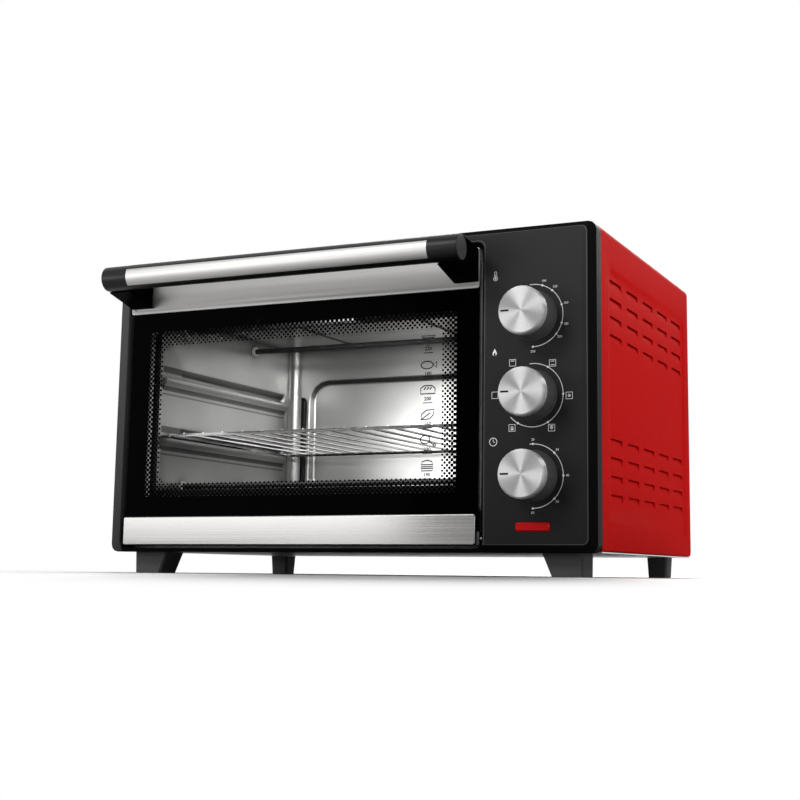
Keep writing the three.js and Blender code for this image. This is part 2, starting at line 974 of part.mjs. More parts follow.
function rearSolid() {
  const inset = coverBackFold + seatGap;
  const left = cover.left + inset;
  const right = cover.right - inset;
  const bottom = cover.bottom + inset;
  const top = cover.top - inset;
  const pan = (shrink, front, back) =>
    slabY(
      roundedOutline(left + shrink, right - shrink, bottom + shrink, top - shrink, backRadius - shrink),
      front,
      back,
      3,
    );
  const slots = counted(backSlotRows).flatMap((row) =>
    counted(backSlotColumns).map((column) => {
      const x = left + backSlotSideMargin + column * backSlotColumnPitch;
      const z = top - backSlotTopMargin - row * backSlotRowPitch;
      return block(
        x,
        x + backSlotLength,
        backPlate.front - overrun,
        backPlate.back + overrun,
        z - backSlotHeight,
        z,
      );
    }),
  );
  const hole = rodY(
    backPlate.front - overrun,
    backPlate.back + overrun,
    gland.x,
    gland.z,
    glandBodyRadius + seatGap,
    12,
  );
  const outer = pan(0, backPlate.front, cover.back - coverSheet - seatGap);
  return without(outer, [pan(backSheet, backPlate.back, cover.back), hole, ...slots]);
}
place(cabinet, "rear_panel", rearSolid(), aluminisedSteel);

const glandSeat = backPlate.back + seatGap;
const glandProfile = [
  [glandBore, backPlate.front - glandInnerLength],
  [glandBodyRadius, backPlate.front - glandInnerLength],
  [glandBodyRadius, glandSeat],
  [glandFlangeRadius, glandSeat],
  [glandFlangeRadius, glandSeat + glandFlangeThickness],
  [glandBodyRadius, glandSeat + glandFlangeThickness],
  [glandBore + glandLip, glandSeat + glandOuterLength],
  [glandBore, glandSeat + glandOuterLength],
  [glandBore, backPlate.front - glandInnerLength],
];
place(cabinet, "cord_gland", turnedY(glandProfile, gland.x, gland.z, 12), blackPlastic);

// Cavity side walls: a front flange, rails for the rack pressed in and the grooves above them pressed out
function cavitySide(side) {
  return side === "left" ? (depth) => cavity.left + depth : (depth) => cavity.right - depth;
}

function betweenDepths(side, nearer, farther) {
  return [cavitySide(side)(nearer), cavitySide(side)(farther)].sort((a, b) => a - b);
}

function rodLines() {
  const high = cavity.top - rodUpperDrop;
  const low = cavity.bottom + rodLowerRise;
  const front = cavity.front + rodFrontSetback;
  const rear = cavity.back - rodRearMargin;
  return [
    { name: "upper_front", y: front, z: high },
    { name: "upper_rear", y: rear, z: high },
    { name: "lower_front", y: front, z: low },
    { name: "lower_rear", y: rear, z: low },
  ];
}

// A shelf has a nose along its whole length and a groove above it, whose roof slopes
function shelfParts(side, noseFront, front, back, ledge) {
  const sheet = cavitySheet;
  const under = shelfLip + shelfSlope;
  const across = cavitySide(side);
  const grooveRing = (growth, share, depth) => {
    const shrink = share * shelfGrooveEnd - growth;
    const rise = shelfGrooveHeight + share * (shelfGrooveFloor - shelfGrooveHeight);
    return sideRing(
      front + shrink,
      back - shrink,
      ledge - growth,
      ledge + rise + growth,
      shelfRadius,
      across(-depth),
      2,
    );
  };
  const groove = pressing(grooveRing, shelfGrooveDepth, sheet);
  const rail = (railFront, railBack, points) =>
    slabY(polygon(points.map(([depth, drop]) => [across(depth), ledge - drop])), railFront, railBack);
  const outside = -shelfGrooveDepth - sheet - overrun;
  return {
    pads: [
      groove.pad,
      rail(noseFront, back, [
        [-sheet / 2, 0],
        [shelfNose, 0],
        [shelfNose, shelfLip],
        [-sheet / 2, under],
      ]),
    ],
    cuts: [
      groove.cut,
      rail(noseFront + sheet, back - sheet, [
        [outside, sheet],
        [shelfNose - sheet, sheet],
        [shelfNose - sheet, shelfLip - sheet / 2],
        [-sheet, under - sheet],
        [outside, under - sheet],
      ]),
    ],
  };
}

function sideWall(side, spans, extraPads, extraCuts) {
  const sheet = cavitySheet;
  const wall = block(
    ...betweenDepths(side, -sheet, 0),
    cavity.front,
    cavity.back - seatGap,
    cavity.bottom - sheet,
    cavity.top + sheet,
  );
  const onLeft = side === "left";
  const flangeLeft = onLeft ? flange.left : cavity.right;
  const flangeRight = onLeft ? cavity.left : flange.right;
  const front = block(
    flangeLeft,
    flangeRight,
    cavity.front,
    cavity.front + sheet,
    flange.bottom,
    flange.top,
  );
  const shelves = shelfHeights.flatMap((height) =>
    spans.map(([noseFront, front, back]) =>
      shelfParts(side, noseFront, front, back, cavity.bottom + height),
    ),
  );
  const rodHoles = rodLines().map(({ y, z }) =>
    rodX(...betweenDepths(side, -sheet - overrun, overrun), y, z, ceramicRadius + seatGap, 8),
  );
  const formed = joined([wall, front, ...extraPads, ...shelves.flatMap((shelf) => shelf.pads)]);
  return without(formed, [...shelves.flatMap((shelf) => shelf.cuts), ...rodHoles, ...extraCuts]);
}

const noseFront = cavity.front + shelfNoseMargin;
const shelfBack = cavity.back - shelfBackMargin;
const leftWall = sideWall("left", [[noseFront, shelfFront, shelfBack]], [], []);
place(cabinet, "cavity_left_wall", leftWall, aluminisedSteel);

// The right-hand wall has a pressed dish for the fan, and its rails stop on either side of it
const dishFloor = cavity.right + dishDepth;
const fanSpan = dishRadius + cavitySheet + shelfFanMargin;
const dishOuter = rodX(
  cavity.right,
  dishFloor + cavitySheet,
  fan.y,
  fan.z,
  dishRadius + cavitySheet,
  24,
);
const dishInner = rodX(cavity.right - overrun, dishFloor, fan.y, fan.z, dishRadius, 24);
const dishHole = rodX(
  dishFloor - overrun,
  dishFloor + cavitySheet + overrun,
  fan.y,
  fan.z,
  fanShaftHole,
  10,
);
const rightSpans = [
  [noseFront, shelfFront, fan.y - fanSpan],
  [fan.y + fanSpan, fan.y + fanSpan, shelfBack],
];
const rightWall = sideWall("right", rightSpans, [dishOuter], [dishInner, dishHole]);
place(cabinet, "cavity_right_wall", rightWall, aluminisedSteel);

// Cavity back wall: a large panel and a bead at each side, all pressed backwards
function backWallSolid() {
  const sheet = cavitySheet;
  const panelRing = (growth, share, depth) => {
    const shrink = share * panelBorder - growth;
    return faceRing(
      cavity.left + panelSideMargin + shrink,
      cavity.right - panelSideMargin - shrink,
      cavity.bottom + panelBottomMargin + shrink,
      cavity.top - panelTopMargin - shrink,
      panelRadius - shrink,
      cavity.back + depth,
      4,
    );
  };
  const beadRing = (middle) => (growth, share, depth) => {
    const shrink = share * beadBorder - growth;
    const half = beadWidth / 2 - shrink;
    return faceRing(
      middle - half,
      middle + half,
      cavity.bottom + beadBottomMargin + shrink,
      cavity.top - beadTopMargin - shrink,
      half,
      cavity.back + depth,
      2,
    );
  };
  const beadInset = beadSideMargin + beadWidth / 2;
  const forms = [
    pressing(panelRing, panelDepth, sheet),
    pressing(beadRing(cavity.left + beadInset), beadDepth, sheet),
    pressing(beadRing(cavity.right - beadInset), beadDepth, sheet),
  ];
  const plate = block(
    cavity.left - sheet,
    cavity.right + sheet,
    cavity.back,
    cavity.back + sheet,
    cavity.bottom - sheet,
    cavity.top + sheet,
  );
  const raised = joined([plate, ...forms.map((form) => form.pad)]);
  return without(raised, forms.map((form) => form.cut));
}
place(cabinet, "cavity_back_wall", backWallSolid(), aluminisedSteel);

// Cavity roof and floor between the side walls, each with its front flange, the roof with raised beads
function levelSolid(sheetBottom, flangeBottom, flangeTop, beads) {
  const sheet = cavitySheet;
  const left = cavity.left + seatGap;
  const right = cavity.right - seatGap;
  const plate = block(left, right, cavity.front, cavity.back - seatGap, sheetBottom, sheetBottom + sheet);
  const front = block(left, right, cavity.front, cavity.front + sheet, flangeBottom, flangeTop);
  const bead = (column, growth, bottom, top) => {
    const middle = doorMiddle + (column - (roofBeads - 1) / 2) * roofBeadPitch;
    const half = roofBeadWidth / 2 + growth;
    const outline = roundedOutline(
      middle - half,
      middle + half,
      cavity.front + roofBeadMargin - growth,
      cavity.back - roofBeadMargin + growth,
      half,
    );
    return slabZ(outline, bottom, top, 2);
  };
  const beadTop = sheetBottom + sheet + roofBeadDepth;
  const bumps = beads.map((i) => bead(i, sheet, sheetBottom + sheet / 2, beadTop));
  const hollows = beads.map((i) => bead(i, 0, sheetBottom - overrun, sheetBottom + roofBeadDepth));
  return without(joined([plate, front, ...bumps]), hollows);
}
const roofSolid = levelSolid(cavity.top, cavity.top, flange.top, counted(roofBeads));
const floorSolid = levelSolid(cavity.bottom - cavitySheet, flange.bottom, cavity.bottom, []);
place(cabinet, "cavity_roof", roofSolid, aluminisedSteel);
place(cabinet, "cavity_floor", floorSolid, aluminisedSteel);

// Heating elements: straight rods through both walls, each end in a ceramic bush
function elementSolid(y, z) {
  const start = cavity.left - rodOverhang;
  const end = cavity.right + rodOverhang;
  const profile = [
    [0, start - rodTerminalLength],
    [rodTerminalRadius, start - rodTerminalLength],
    [rodTerminalRadius, start],
    [rodRadius, start],
    [rodRadius, end],
    [rodTerminalRadius, end],
    [rodTerminalRadius, end + rodTerminalLength],
    [0, end + rodTerminalLength],
  ];
  return turnedX(profile, y, z, 8);
}

function insulatorSolid(side, y, z) {
  const along = cavitySide(side);
  const bore = rodRadius + seatGap;
  const head = along(seatGap + ceramicFlangeThickness);
  const profile = [
    [bore, head],
    [ceramicFlangeRadius, head],
    [ceramicFlangeRadius, along(seatGap)],
    [ceramicRadius, along(seatGap)],
    [ceramicRadius, along(-ceramicLength)],
    [bore, along(-ceramicLength)],
    [bore, head],
  ];
  return turnedX(profile, y, z, 8);
}

rodLines().forEach(({ name, y, z }) => {
  place(cabinet, `element_${name}`, elementSolid(y, z), elementSteel);
  ["left", "right"].forEach((side) =>
    place(cabinet, `insulator_${name}_${side}`, insulatorSolid(side, y, z), ceramic),
  );
});

// Fan guard over the dish, with radial slots
function guardSolid() {
  const back = cavity.right - seatGap;
  const front = back - guardSheet;
  const slots = counted(guardSlots).map((i) => {
    const geometry = new THREE.BoxGeometry(
      guardSheet + 2 * overrun,
      guardSlotWidthShare * guardRadius,
      guardSlotOuter - guardSlotInner,
    );
    geometry.translate(0, 0, (guardSlotOuter + guardSlotInner) / 2);
    geometry.rotateX((2 * Math.PI * i) / guardSlots);
    geometry.translate((front + back) / 2, fan.y, fan.z);
    return solidOf(geometry);
  });
  return without(rodX(front, back, fan.y, fan.z, guardRadius, 24), slots);
}
place(cabinet, "fan_guard", guardSolid(), brushedSteel);

// Fan: a disc with standing blades on a hub, whose shaft runs through the dish into the motor
const motorFace = dishFloor + cavitySheet + seatGap + motorPostLength;

function impellerSolid() {
  const discRight = dishFloor - impellerGap;
  const discLeft = discRight - impellerSheet;
  const blades = counted(impellerBlades).map((i) => {
    const geometry = new THREE.BoxGeometry(
      impellerBladeHeight + impellerSheet / 2,
      impellerSheet,
      impellerBladeOuter - impellerBladeInner,
    );
    geometry.translate(0, 0, (impellerBladeOuter + impellerBladeInner) / 2);
    geometry.rotateX((2 * Math.PI * i) / impellerBlades);
    geometry.translate(discLeft + impellerSheet / 4 - impellerBladeHeight / 2, fan.y, fan.z);
    return solidOf(geometry);
  });
  return joined([
    rodX(discLeft, discRight, fan.y, fan.z, impellerRadius, 24),
    rodX(discLeft - impellerHubLength, discLeft + impellerSheet / 2, fan.y, fan.z, impellerHubRadius, 12),
    rodX(discLeft, motorFace + fanShaftEngagement, fan.y, fan.z, fanShaftRadius, 12),
    ...blades,
  ]);
}
place(fanGroup, "fan_impeller", impellerSolid(), aluminisedSteel);

function motorSolid() {
  const half = motorPlateSize / 2;
  const plateRight = motorFace + motorPlateThickness;
  const stackRight = plateRight + motorStackThickness;
  const around = (width, height, left, right, lift) =>
    block(
      left,
      right,
      fan.y - width / 2,
      fan.y + width / 2,
      fan.z + lift - height / 2,
      fan.z + lift + height / 2,
    );
  const posts = [-1, 1].flatMap((a) =>
    [-1, 1].map((b) =>
      rodX(
        motorFace - motorPostLength,
        motorFace + motorPlateThickness / 2,
        fan.y + a * (half - motorPostInset),
        fan.z + b * (half - motorPostInset),
        motorPostRadius,
        8,
      ),
    ),
  );
  const coilRight = stackRight + motorCoilOverhang;
  const whole = joined([
    around(motorPlateSize, motorPlateSize, motorFace, plateRight, 0),
    around(motorStackWidth, motorStackHeight, motorFace + motorPlateThickness / 2, stackRight, 0),
    around(motorCoilWidth, motorCoilHeight, plateRight, coilRight, -motorStackHeight / 2),
    rodX(stackRight - overrun, stackRight + motorBearingLength, fan.y, fan.z, motorBearingRadius, 16),
    ...posts,
  ]);
  const boreEnd = motorFace + fanShaftEngagement + seatGap;
  return whole.subtract(rodX(motorFace - overrun, boreEnd, fan.y, fan.z, fanShaftRadius + seatGap, 12));
}
place(cabinet, "fan_motor", motorSolid(), blackSteel);

// Door: glass, the pressed frame behind it, the trim above and the plain strip below
const glass = {
  left: door.left + glassSideInset,
  right: door.right - glassSideInset,
  bottom: door.bottom + glassTuckBottom,
  top: door.top - glassTuckTop,
};
const glassOutline = roundedOutline(glass.left, glass.right, glass.bottom, glass.top, glassRadius);
place(doorGroup, "door_glass", slabY(glassOutline, seatGap, glassBack, 3), doorGlass);

function innerFrameSolid() {
  const sheet = doorSheet;
  const seat = glassBack + seatGap;
  const outline = (shrink) =>
    roundedOutline(
      door.left + shrink,
      door.right - shrink,
      door.bottom + shrink,
      door.top - shrink,
      doorRadius - shrink,
    );
  const window = (growth, front, back) =>
    slabY(
      roundedOutline(
        door.left + windowSideInset - growth,
        door.right - windowSideInset + growth,
        door.bottom + windowBottomRail - growth,
        door.top - windowTopRail + growth,
        windowRadius + growth,
      ),
      front,
      back,
      3,
    );
  const pan = slabY(outline(0), seatGap, doorThickness, 2);
  const hollow = slabY(outline(sheet), -overrun, doorThickness - sheet, 2);
  const glassSpace = block(
    door.left - overrun,
    door.right + overrun,
    -overrun,
    seat,
    glass.bottom - seatGap,
    glass.top + seatGap,
  );
  const ledges = [glass.bottom - seatGap - sheet, glass.top + seatGap].map((z) =>
    block(door.left + sheet / 2, door.right - sheet / 2, seatGap, seat + sheet, z, z + sheet),
  );
  const ears = [door.left, door.right - hingeEarWidth].map((left) =>
    block(
      left,
      left + hingeEarWidth,
      seatGap,
      doorThickness - sheet / 2,
      hinge.z - hingeEarHeight / 2,
      hinge.z + hingeEarHeight / 2,
    ),
  );
  const pinHole = rodX(
    door.left - overrun,
    door.right + overrun,
    hinge.y,
    hinge.z,
    hingePinRadius + seatGap,
    12,
  );
  const pressed = without(pan, [hollow, glassSpace]);
  const formed = joined([pressed, window(sheet, seat, doorThickness), ...ledges, ...ears]);
  return without(formed, [window(0, -overrun, doorThickness + overrun), pinHole]);
}
place(doorGroup, "door_inner_frame", innerFrameSolid(), aluminisedSteel);

// Top trim: a thin plate with a raised rim all round
function trimSolid() {
  const outline = (shrink) =>
    roundedOutline(
      door.left + shrink,
      door.right - shrink,
      door.top - trimHeight + shrink,
      door.top - shrink,
      trimRadius,
    );
  const whole = slabY(outline(0), -trimRimRise, 0, 3);
  const front = slabY(outline(trimRim), -trimRimRise - overrun, -trimFaceRise, 3);
  const behind = slabY(outline(trimRim), -trimFaceRise + trimSheet, overrun, 3);
  return without(whole, [front, behind]);
}
place(doorGroup, "door_top_trim", trimSolid(), brushedSteel);

// Bottom strip: a shallow tray with its open side against the glass and the frame
function stripSolid() {
  const ring = (shrink, y) =>
    faceRing(
      door.left + shrink,
      door.right - stripShortfall - shrink,
      door.bottom + shrink,
      door.bottom + stripHeight - shrink,
      stripRadius,
      y,
      3,
    );
  const body = lofted([ring(0, 0), ring(0, -stripRise + stripBevel), ring(stripBevel, -stripRise)]);
  const hollow = lofted([ring(stripSheet, overrun), ring(stripSheet, -stripRise + stripSheet)]);
  return body.subtract(hollow);
}
place(doorGroup, "door_bottom_trim", stripSolid(), brushedSteel);

// Hinge pins, chamfered at both ends
function pinSolid(left, right) {
  const profile = [
    [0, left],
    [hingePinRadius - hingePinChamfer, left],
    [hingePinRadius, left + hingePinChamfer],
    [hingePinRadius, right - hingePinChamfer],
    [hingePinRadius - hingePinChamfer, right],
    [0, right],
  ];
  return turnedX(profile, hinge.y, hinge.z, 12);
}
const leftPin = pinSolid(opening.left - hingePinReach, door.left + hingeEarWidth);
const rightPin = pinSolid(door.right - hingeEarWidth, opening.right + hingePinReach);
place(doorGroup, "hinge_pin_left", leftPin, brushedSteel);
place(doorGroup, "hinge_pin_right", rightPin, brushedSteel);

// Handle: a closed tube on two cradles, with a bright strip let into its front
const degree = Math.PI / 180;
const handleLeft = door.left + handleInset;
const handleRight = door.right - handleInset;
const bracketLefts = [handleLeft, handleRight - bracketWidth];
const inlayLeft = handleLeft + bracketWidth + inlayBracketMargin;
const inlayRight = handleRight - bracketWidth - inlayBracketMargin;
const bracketBores = bracketLefts.map((left) =>
  rodY(handle.y, overrun, left + bracketWidth / 2, handle.z, bracketBore, 12),
);

// A band of the tube's wall in y and z, between two angles from the forward direction
function arcBand(outer, inner, above, below) {
  const start = Math.PI - above * degree;
  const end = Math.PI + below * degree;
  const outline = new THREE.Shape();
  outline.absarc(handle.y, handle.z, outer, start, end);
  outline.absarc(handle.y, handle.z, inner, end, start, true);
  outline.closePath();
  return outline;
}

function handleSolid() {
  const tube = rodX(handleLeft, handleRight, handle.y, handle.z, handleRadius, 28);
  const hollow = rodX(
    handleLeft + handleWall,
    handleRight - handleWall,
    handle.y,
    handle.z,
    handleRadius - handleWall - inlayThickness,
    16,
  );
  const groove = slabX(
    arcBand(
      handleRadius + overrun,
      handleRadius - inlayThickness - seatGap,
      inlayAboveDegrees,
      inlayBelowDegrees,
    ),
    inlayLeft - seatGap,
    inlayRight + seatGap,
    8,
  );
  return without(tube, [hollow, groove, ...bracketBores]);
}
place(doorGroup, "handle_bar", handleSolid(), blackPlastic);

const inlayClearance = seatGap / handleRadius / degree;
const inlayOutline = arcBand(
  handleRadius,
  handleRadius - inlayThickness,
  inlayAboveDegrees - inlayClearance,
  inlayBelowDegrees - inlayClearance,
);
place(doorGroup, "handle_inlay", slabX(inlayOutline, inlayLeft, inlayRight, 8), brushedSteel);

// Each cradle runs from its foot on the trim to the back of the tube, sloping underneath
function bracketSolid(left) {
  const foot = -trimRimRise - seatGap;
  const right = left + bracketWidth;
  const profile = polygon([
    [foot, door.top - bracketFootRise],
    [foot, door.top - bracketTopDrop],
    [-bracketTopReach, door.top + bracketTopRise],
    [-bracketUnderReach, handle.z],
    [-bracketUnderReach, handle.z - bracketUnderDrop],
  ]);
  const pad = block(
    left + bracketPadInset,
    right - bracketPadInset,
    foot - overrun,
    -trimFaceRise - seatGap,
    door.top - bracketFootRise + bracketPadInset,
    door.top - trimRim - seatGap,
  );
  const tube = rodX(left - overrun, right + overrun, handle.y, handle.z, handleRadius + seatGap, 28);
  return without(slabX(profile, left, right).add(pad), [tube, ...bracketBores]);
}
place(doorGroup, "handle_bracket_left", bracketSolid(bracketLefts[0]), blackPlastic);
place(doorGroup, "handle_bracket_right", bracketSolid(bracketLefts[1]), blackPlastic);

// Knobs: a fluted skirt, an aluminium cap over its spigot and a flatted shaft
function aboveFlat(z, offset, front, back) {
  const reach = shaftHoleRadius + overrun;
  return block(knobX - reach, knobX + reach, front, back, z + offset, z + reach);
}

function skirtSolid(z) {
  const out = (distance) => panelFront - knobGap - distance;
  const ring = (radius, flute, distance) =>
    counted(2 * knobFlutes).map((i) => {
      const angle = (Math.PI * i) / knobFlutes;
      const reach = radius - (i % 2) * flute;
      return [knobX + reach * Math.cos(angle), out(distance), z + reach * Math.sin(angle)];
    });
  const body = lofted([
    ring(knobFootRadius, 0, 0),
    ring(knobGripRadius, 0, knobFootLength),
    ring(knobGripRadius, knobFluteDepth, knobFootLength + knobWall),
    ring(knobNeckRadius, knobFluteDepth, knobGripLength - knobWall),
    ring(knobNeckRadius - knobFluteDepth, 0, knobGripLength),
  ]);
  const faceBack = out(knobGripLength - knobFrontWall);
  const faceMiddle = out(knobGripLength - knobFrontWall / 2);
  const behind = out(-overrun);
  const boreFront = out(knobGripLength + spigotLength - knobWall);
  const hollow = rodY(faceBack, behind, knobX, z, knobNeckRadius - knobFluteDepth - knobWall, 16);
  const boss = rodY(faceMiddle, out(knobGripLength - knobBossLength), knobX, z, knobBossRadius, 12);
  const spigot = rodY(out(knobGripLength + spigotLength), faceMiddle, knobX, z, spigotRadius, 16);
  const bore = rodY(boreFront, behind, knobX, z, shaftRadius + seatGap, 12);
  const flat = aboveFlat(z, shaftFlatOffset + seatGap, boreFront - overrun, behind + overrun);
  return joined([body.subtract(hollow), boss, spigot]).subtract(bore.subtract(flat));
}

function capSolid(z) {
  const back = panelFront - knobGap - knobGripLength - seatGap;
  const face = back - capDepth;
  const seat = back - spigotLength - seatGap;
  const profile = [
    [0, face],
    [capFaceRadius, face],
    [capRadius, face + capBevel],
    [capRadius, back],
    [spigotRadius + seatGap, back],
    [spigotRadius + seatGap, seat],
    [0, seat],
  ];
  const pointer = block(
    knobX - pointerOuter,
    knobX - pointerOuter + pointerLength,
    face - overrun,
    face + pointerDepth,
    z - pointerWidth / 2,
    z + pointerWidth / 2,
  );
  return turnedY(profile, knobX, z, 28).subtract(pointer);
}

function shaftSolid(z) {
  const boreFront = panelFront - knobGap - knobGripLength - spigotLength + knobWall;
  const rod = rodY(boreFront + shaftFrontMargin, panelBack + shaftBodyReach, knobX, z, shaftRadius, 12);
  return rod.subtract(aboveFlat(z, shaftFlatOffset, boreFront, panelFront - knobGap));
}

["temperature", "function", "minute"].forEach((name, i) => {
  place(knobGroups[i], `${name}_knob_skirt`, skirtSolid(knobZs[i]), blackPlastic);
  place(knobGroups[i], `${name}_knob_cap`, capSolid(knobZs[i]), spunAluminium);
  place(knobGroups[i], `${name}_knob_shaft`, shaftSolid(knobZs[i]), brushedSteel);
});

// Thermostat, function switch and timer on plates behind the bezel's face
const plateBack = panelBack + seatGap + plateThickness;

function mounted(z, body) {
  const plate = block(
    knobX - plateWidth / 2,
    knobX + plateWidth / 2,
    panelBack + seatGap,
    plateBack,
    z - plateHeight / 2,
    z + plateHeight / 2,
  );
  const boreEnd = panelBack + shaftBodyReach + seatGap;
  const bore = rodY(panelBack - overrun, boreEnd, knobX, z, shaftRadius + seatGap, 12);
  return joined([plate, ...body]).subtract(bore);
}

function controlBox(z, width, height, depth) {
  const outline = roundedOutline(
    knobX - width / 2,
    knobX + width / 2,
    z - height / 2,
    z + height / 2,
    controlRadius,
  );
  return slabY(outline, plateBack - plateThickness / 2, plateBack + depth, 3);
}

function terminals(z, back) {
  return counted(tabCount).map((i) => {
    const x = knobX + (i - (tabCount - 1) / 2) * tabPitch;
    const half = tabThickness / 2;
    return block(x - half, x + half, back - overrun, back + tabLength, z - tabWidth / 2, z + tabWidth / 2);
  });
}

const thermostatBody = mounted(knobZs[0], [
  controlBox(knobZs[0], thermostatWidth, thermostatHeight, thermostatDepth),
  ...terminals(knobZs[0], plateBack + thermostatDepth),
]);
place(cabinet, "thermostat_body", thermostatBody, aluminisedSteel);

const switchBody = mounted(knobZs[1], [
  controlBox(knobZs[1], switchWidth, switchWidth, switchDepth),
  ...terminals(knobZs[1], plateBack + switchDepth),
]);
place(cabinet, "function_switch_body", switchBody, bakelite);

const timerBack = plateBack + timerDepth;
const timerBody = mounted(knobZs[2], [
  rodY(plateBack - plateThickness / 2, timerBack, knobX, knobZs[2], timerRadius, 20),
  rodY(timerBack - overrun, timerBack + bellStemLength, knobX, knobZs[2], bellStemRadius, 12),
]);
place(cabinet, "timer_body", timerBody, aluminisedSteel);

// Bell: a cup over the timer's stem, open towards the timer
const bellFront = timerBack + seatGap;
const bellBack = bellFront + bellDepth;
const bellProfile = [
  [bellRadius, bellFront],
  [bellRadius, bellBack - bellWall],
  [bellRadius - bellWall, bellBack],
  [0, bellBack],
  [0, bellBack - bellWall],
  [bellRadius - bellWall, bellBack - bellWall],
  [bellRadius - bellWall, bellFront],
  [bellRadius, bellFront],
];
place(cabinet, "timer_bell", turnedY(bellProfile, knobX, knobZs[2], 16), spunAluminium);

// Rack: a border wire with rounded corners and a row of thin wires welded across it
const rackLevel = cavity.bottom + shelfHeights[1] + seatGap + rackBorderRadius;
const rack = {
  left: cavity.left + rackSideGap + rackBorderRadius,
  right: cavity.right - rackSideGap - rackBorderRadius,
  front: cavity.front + rackFrontGap + rackBorderRadius,
  back: cavity.back - rackBackGap - rackBorderRadius,
};

// A round wire in a level plane, mitred at each bend of its line
function levelWire(points, z, radius, sides) {
  const corner = (i) => new THREE.Vector2(...points[i]);
  const direction = (i) => corner(i + 1).sub(corner(i)).normalize();
  const rings = points.map(([x, y], i) => {
    const before = direction(Math.max(i - 1, 0));
    const after = direction(Math.min(i, points.length - 2));
    const along = before.add(after).normalize();
    const stretch = 1 / along.dot(after);
    return counted(sides).map((side) => {
      const angle = (2 * Math.PI * side) / sides;
      const out = radius * Math.cos(angle) * stretch;
      return [x - along.y * out, y + along.x * out, z + radius * Math.sin(angle)];
    });
  });
  return lofted(rings);
}

function borderHalf(edge, sign) {
  const steps = 3;
  const middle = (rack.left + rack.right) / 2;
  const centre = edge - sign * rackCornerRadius;
  const bend = (y, start) =>
    counted(steps + 1).map((i) => {
      const angle = start + ((Math.PI / 2) * i) / steps;
      return [centre + sign * rackCornerRadius * Math.cos(angle), y + rackCornerRadius * Math.sin(angle)];
    });
  return [
    [middle - sign * overrun, rack.front],
    ...bend(rack.front + rackCornerRadius, -Math.PI / 2),
    ...bend(rack.back - rackCornerRadius, 0),
    [middle - sign * overrun, rack.back],
  ];
}

function rackSolid() {
  const halves = [borderHalf(rack.left, -1), borderHalf(rack.right, 1)];
  const border = halves.map((points) => levelWire(points, rackLevel, rackBorderRadius, 6));
  const wireLevel = rackLevel + rackBorderRadius * rackWeldShare;
  const pitch = (rack.right - rack.left - 2 * rackEndMargin) / (rackWires - 1);
  const wires = counted(rackWires).map((i) =>
    rodY(
      rack.front - rackBorderRadius / 2,
      rack.back + rackBorderRadius / 2,
      rack.left + rackEndMargin + i * pitch,
      wireLevel,
      rackWireRadius,
      6,
    ),
  );
  return joined([...border, ...wires]);
}
place(rackGroup, "wire_rack", rackSolid(), chromeWire);

// Crumb tray on the cavity floor
function traySolid() {
  const outline = (shrink) =>
    roundedOutline(
      cavity.left + traySideGap + shrink,
      cavity.right - traySideGap - shrink,
      cavity.front + trayFrontGap + shrink,
      cavity.back - trayBackGap - shrink,
      trayRadius - shrink,
    );
  const floor = cavity.bottom + seatGap;
  const body = slabZ(outline(0), floor, floor + trayHeight, 3);
  return body.subtract(slabZ(outline(trayWall), floor + trayWall, floor + trayHeight + overrun, 3));
}
place(trayGroup, "crumb_tray", traySolid(), blackSteel);

const frontmost = -handleReach - handleRadius;
caseGroup.position.set(-caseWidth / 2, -(frontmost + cover.back) / 2, 0);
const oven = new THREE.Group();
oven.name = "electric_oven";
oven.add(caseGroup);

export default oven;
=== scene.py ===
"""Electric worktop oven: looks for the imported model, in metres. The front is towards -Y, +X is right."""

import math

import bmesh
import bpy
from mathutils import Matrix, Vector


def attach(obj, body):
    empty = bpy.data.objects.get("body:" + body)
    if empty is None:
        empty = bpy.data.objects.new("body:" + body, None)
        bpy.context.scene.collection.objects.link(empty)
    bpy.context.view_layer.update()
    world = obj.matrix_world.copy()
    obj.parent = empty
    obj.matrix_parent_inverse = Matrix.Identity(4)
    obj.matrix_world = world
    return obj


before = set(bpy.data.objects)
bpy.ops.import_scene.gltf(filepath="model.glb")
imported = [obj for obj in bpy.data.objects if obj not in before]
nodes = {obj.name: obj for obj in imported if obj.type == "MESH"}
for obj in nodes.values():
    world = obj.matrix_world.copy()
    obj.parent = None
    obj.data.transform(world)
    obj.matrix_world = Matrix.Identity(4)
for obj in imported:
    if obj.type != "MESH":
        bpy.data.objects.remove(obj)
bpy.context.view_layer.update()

# Sizes below are millimetres in the case frame: x from the left edge of the front, y back from its rim,
# z up from the worktop. The model's own frame has its origin under the middle.
ORIGIN_X = 267.5
ORIGIN_Y = 143.2
# The face that carries the dials, and the knobs' axes.
PANEL_Y = -3.0
KNOB_X = 473.4
KNOB_Z = {"temperature": 242.4, "function": 167.2, "minute": 92.0}
# The glass, the outer edge of its dots and its clear window: left, right, bottom, top.
GLASS = (16.1, 418.3, 41.6, 301.0)
BAND = (39.3, 394.4, 78.7, 253.0)
CLEAR = (57.0, 380.0, 92.0, 238.0)
GLASS_FRONT_Y = 0.3
# The axis of the handle, and the outer face of the rear panel.
HANDLE_Y, HANDLE_Z = -46, 303.5
REAR_PANEL_Y = 337.1


def at(x, y, z):
    """A point of the case frame in the model's own frame, in metres."""
    return Vector(((x - ORIGIN_X) / 1000, (y - ORIGIN_Y) / 1000, z / 1000))


# ---------------------------------------------------------------- camera
EYE = (911.82, -1192.4, 2.9)
YAW, PITCH, ROLL = 23.85, 8.37, 0.58
LENS_MM, SENSOR_MM = 61.77, 36
SHIFT_X, SHIFT_Y = -0.0588, -0.0363


